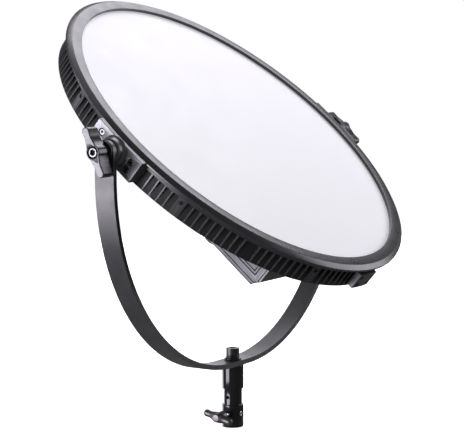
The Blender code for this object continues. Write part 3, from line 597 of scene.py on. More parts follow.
def make_bolt():
    """Flat washer, split spring washer and knurled socket-head bolt on the yoke."""
    low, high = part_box("adapter_washer")
    section = rounded((BOLT_HOLE_R, low.z), (high.x, high.z), 0.0003)
    dress(lathe("flat_washer", section, 96, closed=True), OXIDE, "black_oxide", "adapter_washer",
          body="stand_yoke")

    low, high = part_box("spring_washer")
    bm = bmesh.new()
    rings = []
    for step in range(SPLIT_STEPS + 1):
        angle = SPLIT_OPENING / 2 + (2 * pi - SPLIT_OPENING) * step / SPLIT_STEPS
        rise = SPLIT_LIFT * step / SPLIT_STEPS
        section = rectangle((BOLT_HOLE_R, low.z + rise), (high.x, high.z - SPLIT_LIFT + rise))
        rings.append(corner_ring(bm, section, angle))
    for here, following in zip(rings, rings[1:]):
        bridge(bm, here, following)
    bm.faces.new(rings[0])
    bm.faces.new(rings[-1])
    spring = add_object("split_washer", bm)
    ease_edges(spring, 0.0002)
    dress(spring, OXIDE, "black_oxide", "spring_washer", body="stand_yoke")

    head_low = high.z + GAP
    low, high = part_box("adapter_bolt")
    head_r = high.x
    knurl_low = head_low + 0.0012
    knurl_high = high.z - 0.0014
    knurl = knurling(head_r - 0.0002, knurl_low, knurl_high, BOLT_KNURL_DEPTH, 3, 1)
    bolt = lathe("socket_bolt", [
        (0.0, high.z), (head_r, high.z, 0.0009), (head_r, knurl_high), (head_r, knurl_low),
        (head_r, head_low, 0.0005), (BOLT_SHANK_R, head_low), (BOLT_SHANK_R, low.z, 0.0008),
        (0.0, low.z)], 144, fluting=knurl)
    carve(bolt, prism("bolt_socket", hexagon(0.008), high.z - 0.005, high.z + BEYOND))
    ease_edges(bolt, 0.0002, 2, 55.0)
    dress(bolt, OXIDE, "black_oxide", "adapter_bolt", body="stand_yoke")


HANDLE_TURN = -76.0
HANDLE_HALF = 0.02
HANDLE_REACH = 0.0332
BOSS_R = 0.0062
THREAD_PITCH = 0.00125
THREAD_DEPTH = 0.0005


def make_lock(to_lock):
    """T-handle lock screw: waisted handle with a boss, bright shank and brass pad."""
    handle_low, handle_high = extent("lock_handle", to_lock)
    shank_low, shank_high = extent("lock_screw", to_lock)
    pad_low, pad_high = extent("lock_pad", to_lock)
    handle_space = spot(*(to_lock @ Vector((0.0, 0.0, HANDLE_REACH))), HANDLE_TURN)
    upper = [(0.0, HANDLE_HALF), (0.0032, HANDLE_HALF - 0.0004), (0.0047, HANDLE_HALF - 0.0034),
             (0.0042, HANDLE_HALF - 0.0085), (0.0048, 0.008), (0.0062, 0.0045), (0.0067, 0.0)]
    profile = soften(upper + [(r, -z) for r, z in reversed(upper[:-1])], 0.003)
    handle = lathe("t_handle", profile, 48, handle_space)
    top = handle_high.z
    boss = lathe("t_boss", [
        (0.0, top), (0.0048, top, 0.001), (BOSS_R, top - 0.004, 0.002),
        (BOSS_R, handle_low.z, 0.0008), (0.0, handle_low.z)], 48, to_lock)
    carve(handle, boss, operation="UNION")
    carve(handle, rod("t_bore", 0.0043, 0.0, 0.0268, to_lock))
    ease_edges(handle, 0.0006, 3, 40.0)
    dress(handle, GUNMETAL, "gunmetal", "lock_handle", body="lock_screw_set")
    thread_r = shank_high.x
    core_r = thread_r - THREAD_DEPTH
    profile = [(0.0, shank_low.z)]
    height = shank_low.z
    while height + THREAD_PITCH < shank_high.z:
        profile += [(core_r, height), (thread_r, height + THREAD_PITCH / 2)]
        height += THREAD_PITCH
    profile += [(core_r, shank_high.z), (0.0, shank_high.z)]
    dress(lathe("lock_shank", profile, 40, to_lock), STEEL, "steel", "lock_screw",
          body="lock_screw_set")
    profile = soften([(0.0, pad_low.z), (pad_high.x, pad_low.z), (pad_high.x, pad_high.z),
                      (0.0, pad_high.z)], 0.0004)
    dress(lathe("lock_pad_disc", profile, 40, to_lock), BRASS, "brass", "lock_pad",
          body="lock_screw_set")


# Panel head: rim and front

RIM_LOW, RIM_HIGH = extent("rim_heatsink", HEAD)
BEZEL_LOW, BEZEL_HIGH = extent("front_bezel", HEAD)
RIM_R = RIM_HIGH.x
GROOVE_FLOOR_R = RIM_R - 0.005
GROOVE_RUN_OUT_R = RIM_R - 0.0003
GROOVE_FRONT = BEZEL_HIGH.z - 0.013
GROOVE_BACK = BEZEL_HIGH.z - 0.0352
FIN_PITCH = 2.4
FIN_ANGLE = 0.48
BOSS_GAP = 9
BLOCK_GAPS = 15
PLATE_GAPS = 17
RIM_SCREW_Z = 0.0005
FIN_AREA = 0.00008


def groove_spans():
    """Angles in degrees at which each groove between fins starts and ends."""
    half_fin = FIN_ANGLE / 2
    spans = []
    for quadrant in range(4):
        centre = 45.0 + 90.0 * quadrant
        spans.append((centre - FIN_PITCH + half_fin, centre + FIN_PITCH - half_fin))
        for towards in (-1, 1):
            faces_block = (quadrant in (0, 2)) == (towards < 0)
            last = BLOCK_GAPS if faces_block else PLATE_GAPS
            for gap in range(1, last):
                if gap == BOSS_GAP:
                    continue
                near = centre + towards * (FIN_PITCH * gap + half_fin)
                far = centre + towards * (FIN_PITCH * (gap + 1) - half_fin)
                spans.append((min(near, far), max(near, far)))
    return sorted(spans)


RIM_BORE_R = 0.2247
GROOVE_FACE = 2  # which face of the rim's section the grooves are pushed into


def make_rim():
    """Heat-sink ring with grooves between thin fins, and eight screw bosses.

    Each groove is deepest at its front end and runs out at the rim's back edge.
    """
    spans = groove_spans()
    section = [(RIM_BORE_R, RIM_HIGH.z), (RIM_R, RIM_HIGH.z), (RIM_R, GROOVE_FRONT),
               (RIM_R, GROOVE_BACK), (RIM_R, RIM_LOW.z), (RIM_BORE_R, RIM_LOW.z)]
    angles = [0.0]
    for start, end in spans + [(360.0, 360.0)]:
        parts = max(1, ceil((start - angles[-1]) / 1.2))
        begin = angles[-1]
        angles += [begin + (start - begin) * part / parts for part in range(1, parts + 1)]
        if end > start:
            parts = max(2, ceil((end - start) / 0.9))
            angles += [start + (end - start) * part / parts for part in range(1, parts + 1)]
    bm = bmesh.new()
    rings = [corner_ring(bm, section, radians(angle)) for angle in angles[:-1]]
    floors = []
    for step, here in enumerate(rings):
        faces = bridge(bm, here, rings[(step + 1) % len(rings)])
        middle = (angles[step] + angles[step + 1]) / 2
        if any(start < middle < end for start, end in spans):
            floors.append(faces[GROOVE_FACE])
    bmesh.ops.recalc_face_normals(bm, faces=bm.faces)
    made = bmesh.ops.extrude_face_region(bm, geom=floors)["geom"]
    for item in made:
        if isinstance(item, bmesh.types.BMVert):
            forward = (item.co.z - GROOVE_BACK) / (GROOVE_FRONT - GROOVE_BACK)
            floor_r = GROOVE_RUN_OUT_R + (GROOVE_FLOOR_R - GROOVE_RUN_OUT_R) * forward
            item.co.x *= floor_r / RIM_R
            item.co.y *= floor_r / RIM_R
    bmesh.ops.delete(bm, geom=[face for face in floors if face.is_valid], context="FACES_ONLY")
    rim = add_object("rim_ring", bm, HEAD)
    holes = [rod(f"rim_hole_{index}", 0.0029, RIM_R - 0.0031, RIM_R + BEYOND, space, 24)
             for index, space in enumerate(rim_screw_spaces())]
    carve(rim, *holes)
    dress(rim, ANODISED, "anodised_black", "rim_heatsink")
    rim.data.materials.append(FIN)
    rim.data.materials.append(GROOVE)
    # Fin tops take the painted highlight; groove floors and fin sides take the painted shade.
    for face in rim.data.polygons:
        if not GROOVE_BACK < face.center.z < GROOVE_FRONT:
            continue
        reach = face.center.xy.length
        if reach > RIM_R - 0.0002:
            face.material_index = 1 if face.area < FIN_AREA else 0
        elif reach > GROOVE_FLOOR_R - 0.0005 and abs(face.normal.z) < 0.6:
            face.material_index = 2
    ease_edges(rim, 0.00028, 2, 38.0)


def rim_screw_spaces():
    """Frames of the eight rim screws, z pointing out, midway between two fins."""
    offset = FIN_PITCH * (BOSS_GAP + 0.5)
    angles = [45.0 + 90.0 * quadrant + towards * offset
              for quadrant in range(4) for towards in (-1, 1)]
    tip = spot(0.0, 0.0, 0.0, 90.0, "Y")
    return [HEAD @ spot(0.0, 0.0, RIM_SCREW_Z, angle, "Z") @ tip for angle in angles]


def make_rim_screws():
    """Screws of the back cover, sunk in the bosses between the fins."""
    for index, space in enumerate(rim_screw_spaces(), start=1):
        place = space @ spot(0.0, 0.0, RIM_R - 0.003)
        socket_screw(f"rim_screw_{index}", 0.0026, 0.002, 0.0014, 0.0035, 0.002, place, OXIDE,
                     "anodised_black")


BEZEL_OPENING_R = 0.2214
BEZEL_FLAT_R = 0.2342
BEZEL_REBATE_R = 0.225
BEZEL_CHAMFER_DEPTH = 0.0035
BEZEL_LIP_DEPTH = 0.0039


def make_bezel():
    """Front ring: flat face, broad outer chamfer, eased lip round the opening."""
    front = BEZEL_HIGH.z
    back = BEZEL_LOW.z
    outer = BEZEL_HIGH.x
    lip_back = front - BEZEL_LIP_DEPTH
    bezel = lathe("bezel_ring", [
        (BEZEL_OPENING_R, front, 0.0003), (BEZEL_FLAT_R, front, 0.0005),
        (outer, front - BEZEL_CHAMFER_DEPTH, 0.0005), (outer, back, 0.0004),
        (BEZEL_REBATE_R, back), (BEZEL_REBATE_R, lip_back), (BEZEL_OPENING_R, lip_back, 0.0003)],
        320, HEAD, closed=True)
    ease_edges(bezel, 0.0001, 1, 60.0)
    dress(bezel, ANODISED_SATIN, "anodised_black", "front_bezel")


def make_diffuser():
    """Opal disc with an eased rim, in rings so that its painted shade can darken it near the rim."""
    low, high = extent("diffuser", HEAD)
    radius = high.x
    profile = [(radius * share, high.z) for share in (0.0, 0.3, 0.6, 0.85, 0.95)]
    profile += soften([(radius * 0.97, high.z), (radius, high.z), (radius, low.z),
                       (radius * 0.97, low.z)], 0.0004)
    profile += [(0.0, low.z)]
    dress(lathe("opal_sheet", profile, 256, HEAD), OPAL, "opal", "diffuser")


PAN_WALL = 0.0013
PAN_FLOOR = 0.0015
PAN_RIB_HEIGHT = 0.0006
PAN_RIBS = (0.118, 0.196)


def make_back_cover():
    """Spun pan with a stepped edge and two pressed ribs."""
    low, high = extent("back_cover", HEAD)
    radius = high.x
    inside = low.z + PAN_FLOOR
    profile = [(0.0, low.z)]
    for middle in PAN_RIBS:
        profile += [(middle - 0.0045, low.z), (middle - 0.003, low.z + PAN_RIB_HEIGHT),
                    (middle + 0.003, low.z + PAN_RIB_HEIGHT), (middle + 0.0045, low.z)]
    profile += [(radius - 0.004, low.z), (radius, low.z, 0.0012), (radius, high.z, 0.0004),
                (radius - PAN_WALL, high.z, 0.0003), (radius - PAN_WALL, inside, 0.0008),
                (radius - 0.006, inside), (0.0, inside)]
    dress(lathe("back_pan", profile, 256, HEAD), PAINT, "painted_alloy", "back_cover")


JOINT_PLATE_REACH = 0.2362
JOINT_SCREW_SHARES = (-0.62, 0.62)
JOINT_SCREW_HEIGHTS = (-0.01, 0.0005)


def make_joint_plate():
    """Curved plate over the rim's joint, with four screws."""
    low, high = extent("rim_joint_plate", HEAD)
    outer_r = -low.y
    fall = degrees(asin(high.x / JOINT_PLATE_REACH))
    outer = arc((0.0, 0.0), outer_r, -90 - fall, -90 + fall, 24)
    inner = arc((0.0, 0.0), RIM_R + 0.0002, -90 + fall, -90 - fall, 24)
    piece = prism("joint_plate", outer + inner, low.z, high.z, HEAD)
    screws = [HEAD @ spot(0.0, 0.0, z, -90 + fall * share, "Z") @ spot(0.0, 0.0, 0.0, 90.0, "Y")
              for share in JOINT_SCREW_SHARES for z in JOINT_SCREW_HEIGHTS]
    sinks = [rod(f"plate_sink_{index}", 0.0032, outer_r - 0.0022, outer_r + BEYOND, space)
             for index, space in enumerate(screws)]
    carve(piece, *sinks)
    ease_edges(piece, 0.0007, 2, 40.0)
    dress(piece, ANODISED, "anodised_black", "rim_joint_plate")
    for index, space in enumerate(screws, start=1):
        place = space @ spot(0.0, 0.0, outer_r - 0.0021)
        socket_screw(f"joint_plate_screw_{index}", 0.0029, 0.0016, 0.0016, 0.003, 0.0024, place,
                     OXIDE, "anodised_black")


# Pivots

BLOCK_INNER = 0.225
BLOCK_CHAMFER = 0.0016
BLOCK_SCREW_Y = 0.025
BLOCK_SCREW_Z = 0.005


def make_pivot_block(side):
    """Block that wraps the rim and the bezel's back, with its four screws."""
    word = side_name(side)
    low, high = extent(f"pivot_block_{word}", HEAD)
    face = high.x if side > 0 else -low.x
    near, far = sorted((side * BLOCK_INNER, side * face))
    outline = rectangle((near, -high.y), (far, high.y))
    piece = prism(f"pivot_mount_{word}", outline, low.z, high.z, HEAD)
    back = BEZEL_LOW.z - GAP
    carve(piece, rod(f"mount_rim_{word}", RIM_R + GAP, -0.05, back, HEAD, 360))
    carve(piece, rod(f"mount_ring_{word}", BEZEL_HIGH.x + 0.0004, back - 0.0001, 0.05, HEAD, 360))
    ease_edges(piece, BLOCK_CHAMFER, 1, 50.0)
    settle(piece)
    screws = [HEAD @ spot(0.0, y, z, side * 90.0, "Y") for y in (BLOCK_SCREW_Y, -BLOCK_SCREW_Y)
              for z in (BLOCK_SCREW_Z, -BLOCK_SCREW_Z)]
    sinks = [rod(f"sink_{word}_{number}", 0.0042, face - 0.004, face + BEYOND, space, 40)
             for number, space in enumerate(screws, start=1)]
    carve(piece, *sinks)
    ease_edges(piece, 0.00035, 2, 50.0)
    dress(piece, BLOCK, "anodised_black", f"pivot_block_{word}")
    for number, space in enumerate(screws, start=1):
        place = space @ spot(0.0, 0.0, face - 0.0037)
        finish = ZINC if number == 1 else OXIDE
        socket_screw(f"mount_screw_{word}_{number}", 0.0036, 0.0031, 0.0015, 0.0, 0.003, place,
                     finish, "steel", f"pivot_block_screw_{word}_{number}")


def make_hub(side):
    """Flared hub between the block and the yoke's arm."""
    word = side_name(side)
    space = side_frame(side)
    low, high = extent(f"pivot_hub_{word}", space)
    radius = high.x
    hub = lathe(f"pivot_collar_{word}", [
        (STUD_HOLE_R, low.z), (radius + 0.003, low.z, 0.0004),
        (radius + 0.0026, low.z + 0.0014, 0.001), (radius + 0.0006, low.z + 0.0034, 0.002),
        (radius, high.z - 0.0018, 0.0006), (radius - 0.0012, high.z, 0.0004),
        (STUD_HOLE_R, high.z)], 96, space, closed=True)
    dress(hub, BLOCK, "anodised_black", f"pivot_hub_{word}")


KNOB_HALF_LENGTH = 0.029
KNOB_TIP_R = 0.0048
KNOB_HUB_R = 0.0087
KNOB_RECESS_R = 0.0073
KNOB_RECESS_DEPTH = 0.005
KNOB_BORE_DEPTH = 0.0105


def knob_outline():
    """Two rounded wings that swell into a round hub, drawn with the wings along x."""
    right = arc((KNOB_HALF_LENGTH - KNOB_TIP_R, 0.0), KNOB_TIP_R, -80, 80, 16)
    right += [(0.0185, 0.0043), (0.015, 0.0044), (0.0118, 0.0052)]
    right += arc((0.0, 0.0), KNOB_HUB_R, 46, 134, 18)
    right += [(-0.0118, 0.0052), (-0.015, 0.0044), (-0.0185, 0.0043)]
    return right + [(-x, -y) for x, y in right]


def make_clamp(side):
    """Clamp knob with a rubber ring and a socket screw in its recess."""
    word = side_name(side)
    body = f"clamp_{word}"
    space = side_frame(side)
    low, high = extent(f"clamp_knob_{word}", space)
    face = high.z
    floor = face - KNOB_RECESS_DEPTH
    turned_space = space @ Matrix.Rotation(knob_lean(side), 4, "Z")
    knob = prism(f"clamp_wings_{word}", knob_outline(), low.z, face, turned_space)
    ease_edges(knob, 0.0013, 3, 50.0)
    settle(knob)
    carve(knob,
          rod(f"knob_recess_{word}", KNOB_RECESS_R, floor, face + BEYOND, space, 64),
          rod(f"knob_bore_{word}", STUD_HOLE_R, low.z - BEYOND, face - KNOB_BORE_DEPTH, space, 48),
          rod(f"knob_hole_{word}", 0.0028, face - 0.02, face, space, 32))
    dress(knob, GREY, "satin_grey", f"clamp_knob_{word}", body=body)
    # The flanks take the darker copy: painted shade on the knob's sides.
    knob.data.materials.append(KNOB_SIDE_SHADE)
    for polygon in knob.data.polygons:
        if polygon.normal.z < 0.7:
            polygon.material_index = 1
    ease_edges(knob, 0.0002, 1, 60.0)
    ring_r = KNOB_RECESS_R - 0.0001
    ring = lathe(f"knob_seat_{word}", [
        (0.0055, floor + 0.0001), (ring_r, floor + 0.0001), (ring_r, face - 0.0002, 0.0002),
        (0.0068, face - 0.0002, 0.0002), (0.0063, face - 0.0016), (0.0055, face - 0.002)],
        64, space, closed=True)
    dress(ring, RUBBER, "black_plastic", body=body)
    socket_screw(f"clamp_screw_{word}", 0.0054, 0.0045, 0.0024, 0.0055, 0.0064,
                 space @ spot(0.0, 0.0, floor + GAP), ZINC, "steel", f"knob_screw_{word}",
                 body=body)


def knob_lean(side):
    """Turn of the knob's wings in its side frame, read off its CAD node's farthest point."""
    word = side_name(side)
    inverse = side_frame(side).inverted()
    points = [inverse @ vert.co for vert in NODES[f"clamp_knob_{word}"].data.vertices]
    farthest = max(points, key=lambda point: point.xy.length)
    return atan2(farthest.y, farthest.x)


# Control box

# Frame with x up the panel, y out of its face and z along the pivot axis
BOX_SIDE = Matrix(((0, 0, 1, 0), (1, 0, 0, 0), (0, 1, 0, 0), (0, 0, 0, 1)))


BOX_CHAMFER = 0.008
BOX_SLANT = BOX_CHAMFER * 0.94
BOX_WALL = 0.0025
BOX_BEND = 0.0016
VENT_COUNT = 9
VENT_PITCH = 0.016
END_LINES = ((0.0022, 0.001), (0.0098, 0.0012), (0.0134, 0.001))
END_LINE_DEPTH = 0.0014
END_NOTCH = 0.002


def make_box():
    """Folded housing with its vents, and the two end plates."""
    low, high = extent("control_box_housing", HEAD)
    top = high.y
    bottom = low.y
    front = high.z
    back = low.z
    wall = BOX_WALL
    space = HEAD @ BOX_SIDE
    channel = soften([
        (top, back, 0.0003), (top, front, BOX_BEND), (bottom, front, BOX_BEND),
        (bottom, back + BOX_CHAMFER, BOX_BEND), (bottom + BOX_SLANT, back, 0.0003),
        (bottom + BOX_SLANT + wall, back, 0.0003),
        (bottom + wall, back + BOX_CHAMFER + 0.0008, 0.001),
        (bottom + wall, front - wall, 0.001), (top - wall, front - wall, 0.001),
        (top - wall, back, 0.0003)], 0.0, closed=True)
    housing = prism("box_housing", channel, low.x, high.x, space)
    slots = []
    for index in range(VENT_COUNT):
        x = (index - VENT_COUNT // 2) * VENT_PITCH
        outline = rounded((x - 0.0013, -0.052), (x + 0.0013, -0.03), 0.0012)
        slots.append(prism(f"vent_{index}", outline, -BEYOND, BEYOND,
                           HEAD @ spot(0.0, top, 0.0, 90.0)))
    carve(housing, *slots)
    ease_edges(housing, 0.0003, 2, 50.0)
    dress(housing, ANODISED, "anodised_black", "control_box_housing")
    for side in (-1, 1):
        make_box_end(side, space, top, bottom, front, back)


def make_box_end(side, space, top, bottom, front, back):
    """End plate with a notch in its slanted corner and nested pressed lines."""
    word = side_name(side)
    inner, outer = (corner.x for corner in extent("control_box_end_right", HEAD))
    low, high = sorted((side * outer, side * inner))

    def slope(share, inward=0.0):
        return (bottom + BOX_SLANT * (1 - share) + inward, back + BOX_CHAMFER * share + inward)

    def frame_line(inset, corner):
        return soften([(top - inset, front - inset), (top - inset, back + inset),
                       (bottom + inset, back + inset), (bottom + inset, front - inset)],
                      corner, closed=True)

    outline = soften([
        (top, front), (top, back), (*slope(0.0), 0.0012), (*slope(0.32), 0.0004),
        (*slope(0.5, END_NOTCH), 0.0004), (*slope(0.68), 0.0004), (*slope(1.0), 0.0012),
        (bottom, front)], 0.0008, closed=True)
    end = prism(f"box_end_{word}", outline, low, high, space)
    cut_low, cut_high = sorted((side * (outer + 0.001), side * (outer - END_LINE_DEPTH)))
    cutters = []
    for inset, width in END_LINES:
        line = prism(f"line_{word}_{inset}", frame_line(inset, 0.0012), cut_low, cut_high, space)
        carve(line, prism(f"line_hole_{word}_{inset}", frame_line(inset + width, 0.0008),
                          cut_low - 0.001, cut_high + 0.001, space))
        cutters.append(line)
    carve(end, *cutters)
    dress(end, GREY_SIDE, "satin_grey", f"control_box_end_{word}")
    end.data.materials.append(SOCKET)
    # Faces of the pressed lines get the black socket_shadow: painted shade in the lines.
    for polygon in end.data.polygons:
        if outer - END_LINE_DEPTH - 0.00005 < abs(polygon.center.z) < outer - 0.0002:
            polygon.material_index = 1
    ease_edges(end, 0.00025, 2, 50.0)


COVER_CUT_LOW = -0.08
COVER_CUT_HIGH = -0.05
COVER_SCREW_DEPTH = 0.0011
DIAL_X = 0.068
DIAL_Y = -0.084
# Centre and half size of each opening
COVER_OPENINGS = {
    "display": (0.0, -0.078, 0.0323, 0.0173),
    "key_left": (-0.022, -0.108, 0.0063, 0.0038),
    "key_middle": (0.0, -0.108, 0.0063, 0.0038),
    "key_right": (0.022, -0.108, 0.0063, 0.0038),
    "switch": (0.018, -0.143, 0.0068, 0.0099),
    "inlet": (0.062, -0.143, 0.0139, 0.0101),
}


def make_box_cover():
    """Cover with its openings and six sunk screws."""
    low, high = extent("control_box_cover", HEAD)
    cover = prism("box_cover", rounded(low, high, 0.002), low.z, high.z, HEAD)
    cutters = [box(f"cover_{word}", (x - half_x, y - half_y, COVER_CUT_LOW),
                   (x + half_x, y + half_y, COVER_CUT_HIGH), HEAD, 0.0)
               for word, (x, y, half_x, half_y) in COVER_OPENINGS.items()]
    cutters += [rod(f"cover_shaft_{x}", 0.0036, COVER_CUT_LOW, COVER_CUT_HIGH,
                    HEAD @ spot(x, DIAL_Y, 0.0)) for x in (-DIAL_X, DIAL_X)]
    seat = low.z + COVER_SCREW_DEPTH
    screws = [(x, y) for x in (-0.098, 0.0, 0.098) for y in (low.y + 0.006, high.y - 0.006)]
    cutters += [rod(f"cover_sink_{x}_{y}", 0.003, COVER_CUT_LOW, seat, HEAD @ spot(x, y, 0.0))
                for x, y in screws]
    carve(cover, *cutters)
    ease_edges(cover, 0.0003, 2, 50.0)
    dress(cover, ANODISED, "anodised_black", "control_box_cover")
    for number, (x, y) in enumerate(screws, start=1):
        socket_screw(f"cover_screw_{number}", 0.0027, 0.001, 0.0012, 0.0008, 0.0018,
                     HEAD @ spot(x, y, seat, 180.0), OXIDE, "anodised_black")


DIAL_SHANK = 0.0073
DIAL_KNURL_DEPTH = 0.035
KEY_HALF = Vector((0.006, 0.0035, 0.0))


def make_dial(word, x):
    """Knurled knob with a raised rim and a pointer line."""
    space = HEAD @ spot(x, DIAL_Y, 0.0, 180.0)
    low, high = extent(f"{word}_knob", space)
    radius = high.x
    skirt = low.z + DIAL_SHANK
    grip_low = skirt + 0.003
    grip_high = high.z - 0.0012
    grip = knurling(radius * 0.8, grip_low, grip_high, DIAL_KNURL_DEPTH, 4, 2)
    knob = lathe(f"{word}_dial", [
        (0.0, high.z - 0.0004), (radius - 0.0034, high.z - 0.0004, 0.001),
        (radius - 0.0026, high.z, 0.0004), (radius - 0.0012, high.z, 0.0008),
        (radius - 0.001, grip_high), (radius - 0.0006, grip_low), (radius, skirt + 0.0026, 0.0004),
        (radius, skirt, 0.0004), (0.003, skirt), (0.003, low.z), (0.0, low.z)],
        160, space, fluting=grip)
    dress(knob, PLASTIC, "black_plastic", f"{word}_knob", body=f"{word}_control")
    pointer = box(f"{word}_pointer", (-0.0006, radius * 0.35, high.z - 0.0005),
                  (0.0006, radius - 0.0038, high.z - 0.0001), space, 0.0001, 1)
    dress(pointer, MARK, "white_film", body=f"{word}_control")


def make_key(word):
    """Push key with the flange that holds it behind the cover."""
    low, high = extent(f"button_{word}", HEAD)
    middle = (low + high) / 2
    outline = rounded(middle - KEY_HALF, middle + KEY_HALF, 0.0016)
    key = prism(f"key_{word}", outline, low.z, high.z, HEAD)
    flange = box(f"key_flange_{word}", (low.x, low.y, low.z + 0.0042),
                 (high.x, high.y, low.z + 0.0054), HEAD, 0.0)
    carve(key, flange, operation="UNION")
    ease_edges(key, 0.0006, 3, 50.0)
    dress(key, PLASTIC, "black_plastic", f"button_{word}", body=f"{word}_key")


def make_controls():
    """Two dials, three keys, the display, the switch and the inlet."""
    make_dial("brightness", -DIAL_X)
    make_dial("colour", DIAL_X)
    for word in ("mode", "group", "channel"):
        make_key(word)
    low, high = extent("display_window", HEAD)
    window = prism("display_glass", rounded(low, high, 0.0015), low.z, high.z, HEAD, 0.0003)
    dress(window, GLASS, "dark_glass", "display_window")
    make_switch()
    make_inlet()


def behind(node):
    """Frame on the head's z = 0 plane at a node's middle, z pointing out of the back."""
    low, high = extent(node, HEAD)
    return HEAD @ spot((low.x + high.x) / 2, (low.y + high.y) / 2, 0.0, 180.0)


def flanged(name, body_half, flange_half, well_half, depth, well_depth, flange, space, node):
    """Moulded shell with a flange and a well, on the cover's outer face."""
    face = -extent("control_box_cover", HEAD)[0].z

    def outline(half, corner):
        return rounded((-half[0], -half[1]), half, corner)

    shell = prism(name, outline(body_half, 0.0008), face - depth, face + 0.001, space)
    carve(shell, prism(name + "_flange", outline(flange_half, 0.002), face + GAP, face + flange,
                       space), operation="UNION")
    carve(shell, prism(name + "_well", outline(well_half, 0.0012), face - well_depth,
                       face + BEYOND, space))
    ease_edges(shell, 0.0005, 2, 50.0)
    dress(shell, PLASTIC, "black_plastic", node)


ROCKER_REST = -10.0
ROCKER_HALF_WIDTH = 0.0049
MARK_SLOPE = 15.0


def make_switch():
    """Rocker switch: shell, paddle with a shallow V in its face, and a bar mark."""
    flanged("switch_shell", (0.0065, 0.0096), (0.0078, 0.0108), (0.0053, 0.0086), 0.016, 0.0075,
            0.0022, behind("switch_body"), "switch_body")
    turn = HEAD.to_3x3().to_4x4() @ spot(0.0, 0.0, 0.0, 180.0 + ROCKER_REST)
    tilt = Matrix.Translation(JOINTS["power_rocker_tilt"]["pos_m"]) @ turn
    outline = soften([(-0.0078, 0.0028, 0.0006), (0.0, 0.0006, 0.006), (0.0078, 0.0028, 0.0006),
                      (0.0066, -0.003), (0.0, -0.0048), (-0.0066, -0.003)], 0.0006, closed=True,
                     steps=5)
    rocker = prism("power_rocker_paddle", outline, -ROCKER_HALF_WIDTH, ROCKER_HALF_WIDTH,
                   tilt @ BOX_SIDE)
    ease_edges(rocker, 0.0004, 2, 45.0)
    dress(rocker, PLASTIC, "black_plastic", "switch_rocker", body="power_rocker")
    bar = box("rocker_mark", (-0.0006, 0.0035, 0.0013), (0.0006, 0.0058, 0.0021),
              tilt @ spot(0.0, 0.0, 0.0, MARK_SLOPE), 0.0001, 1)
    dress(bar, MARK, "white_film", body="power_rocker")


INLET_BLADES = {"live": (-0.007, -0.002), "neutral": (0.007, -0.002), "earth": (0.0, 0.002)}


def make_inlet():
    """Mains inlet: shell with a well, and three blades on a base."""
    space = behind("power_inlet")
    flanged("inlet_shell", (0.0136, 0.0098), (0.0155, 0.0118), (0.0122, 0.0083), 0.019, 0.0165,
            0.0024, space, "power_inlet")
    low, high = extent("inlet_pins", space)
    pins = box("inlet_contacts", (-0.009, -0.005, low.z), (0.009, 0.005, low.z + 0.001), space, 0.0)
    blades = [box(f"blade_{word}", (x - 0.001, y - 0.002, low.z + 0.0005),
                  (x + 0.001, y + 0.002, high.z), space, 0.0)
              for word, (x, y) in INLET_BLADES.items()]
    carve(pins, *blades, operation="UNION")
    ease_edges(pins, 0.0003, 2, 50.0)
    dress(pins, STEEL, "steel", "inlet_pins")


def dress_cad_nodes():
    """Finishes of the CAD nodes that stay: the inner layers, washers, studs and modules."""
    finishes = {
        "light_guide_plate": CLEAR, "reflector_sheet": FILM, "led_strip_ring": FILM,
        "backing_plate": GREY, "led_carrier_ring": GREY, "driver_board": BOARD,
        "power_supply_unit": GREY, "brightness_encoder": GREY, "colour_encoder": GREY,
        "display_module": FILM,
    }
    for side in (-1, 1):
        word = side_name(side)
        finishes[f"pivot_stud_{word}"] = STEEL
        finishes[f"friction_washer_{word}"] = RUBBER
        finishes[f"arm_washer_{word}"] = RUBBER
    for node, material in finishes.items():
        mesh = NODES[node].data
        mesh.materials.clear()
        mesh.materials.append(material)


# Studio

CAMERA_TARGET = PIVOT + Vector((-0.0015, 0.0, -0.0951))
CAMERA_DIRECTION = Vector((-0.8456, -0.5235, 0.1047)).normalized()
CAMERA_DISTANCE = 2.1644
CAMERA_LENS = 138.87
FLOOR_HALF = 8.0
COOL = (0.945, 0.92, 1.0)


def aim(obj, target):
    direction = Vector(target) - obj.location
    obj.rotation_euler = direction.to_track_quat("-Z", "Y").to_euler()


def heading(turn, rise):
    """Unit vector at an angle from -Y towards +X and an angle above the floor, in degrees."""
    across = cos(radians(rise))
    return Vector((sin(radians(turn)) * across, -cos(radians(turn)) * across,
                   sin(radians(rise))))


def area_light(name, turn, rise, width, height, power):
    """Soft box that faces the object from a direction given by two angles."""
    data = bpy.data.lights.new(name, "AREA")
    data.shape = "RECTANGLE"
    data.size = width
    data.size_y = height
    data.energy = power
    data.color = COOL
    lamp = bpy.data.objects.new(name, data)
    lamp.location = LIGHT_TARGET + heading(turn, rise) * LIGHT_DISTANCE
    lamp.visible_camera = False
    bpy.context.scene.collection.objects.link(lamp)
    aim(lamp, LIGHT_TARGET)


LIGHT_TARGET = Vector((0.0, 0.0, 0.3))
LIGHT_DISTANCE = 2.0
# Turn and rise in degrees, width and height in metres, power in watts
LIGHTS = {
    "left_box": (-114.0, -8.0, 1.25, 1.0, 43.0),
    "left_strip": (-160.0, 10.0, 0.22, 1.3, 4.0),
    "back_box": (102.0, 49.0, 1.5, 1.15, 21.0),
    "right_box": (48.0, 11.0, 1.4, 1.2, 19.0),
    "top_box": (150.0, 78.0, 1.4, 1.4, 3.5),
    "backdrop": (122.0, 5.0, 1.3, 1.1, 7.0),
    "rear_fill": (166.0, -14.0, 1.4, 0.9, 16.0),
}
SURROUND_LEVEL = 0.16


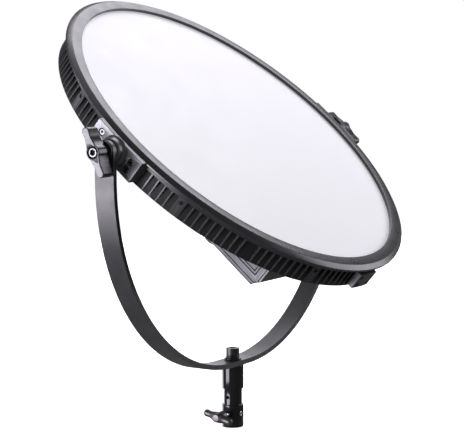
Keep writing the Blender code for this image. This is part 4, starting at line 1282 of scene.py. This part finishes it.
def make_studio():
    """Camera, white surround, lights and floor."""
    scene = bpy.context.scene
    scene.view_settings.view_transform = "Standard"
    scene.view_settings.look = "None"
    data = bpy.data.cameras.new("camera")
    data.lens = CAMERA_LENS
    data.sensor_width = 36.0
    data.clip_end = 50.0
    camera = bpy.data.objects.new("camera", data)
    camera.location = CAMERA_TARGET + CAMERA_DIRECTION * CAMERA_DISTANCE
    scene.collection.objects.link(camera)
    aim(camera, CAMERA_TARGET)
    scene.camera = camera

    world = bpy.data.worlds.new("studio")
    world.use_nodes = True
    nodes = world.node_tree.nodes
    links = world.node_tree.links
    background = nodes["Background"]
    background.inputs["Color"].default_value = WHITE
    path = nodes.new("ShaderNodeLightPath")
    seen = nodes.new("ShaderNodeMapRange")
    seen.inputs["To Min"].default_value = SURROUND_LEVEL
    seen.inputs["To Max"].default_value = 1.0
    links.new(path.outputs["Is Camera Ray"], seen.inputs["Value"])
    links.new(seen.outputs["Result"], background.inputs["Strength"])
    scene.world = world

    for name, settings in LIGHTS.items():
        area_light(name, *settings)
    make_floor()


def make_floor():
    """Plain white floor on which the adapter's foot stands."""
    bm = bmesh.new()
    bmesh.ops.create_grid(bm, x_segments=2, y_segments=2, size=FLOOR_HALF)
    floor = add_object("floor", bm, spot(0.0, 0.0, cad_box[0].z - 0.0002))
    shader = Shader("floor_white")
    bsdf = shader.bsdf
    bsdf.inputs["Base Color"].default_value = (0.9, 0.9, 0.9, 1.0)
    bsdf.inputs["Roughness"].default_value = 0.25
    bsdf.inputs["Emission Color"].default_value = WHITE
    bsdf.inputs["Emission Strength"].default_value = 0.85
    floor.data.materials.append(shader.material)
    floor.visible_diffuse = False
    floor.visible_glossy = False
    floor.visible_shadow = False


def main():
    make_studio()
    make_yoke()
    to_lock = make_adapter()
    make_bolt()
    make_lock(to_lock)
    make_rim()
    make_rim_screws()
    make_bezel()
    make_diffuser()
    make_back_cover()
    make_joint_plate()
    for side in (-1, 1):
        make_pivot_block(side)
        make_hub(side)
        make_clamp(side)
    make_box()
    make_box_cover()
    make_controls()
    dress_cad_nodes()


main()

bpy.context.view_layer.update()
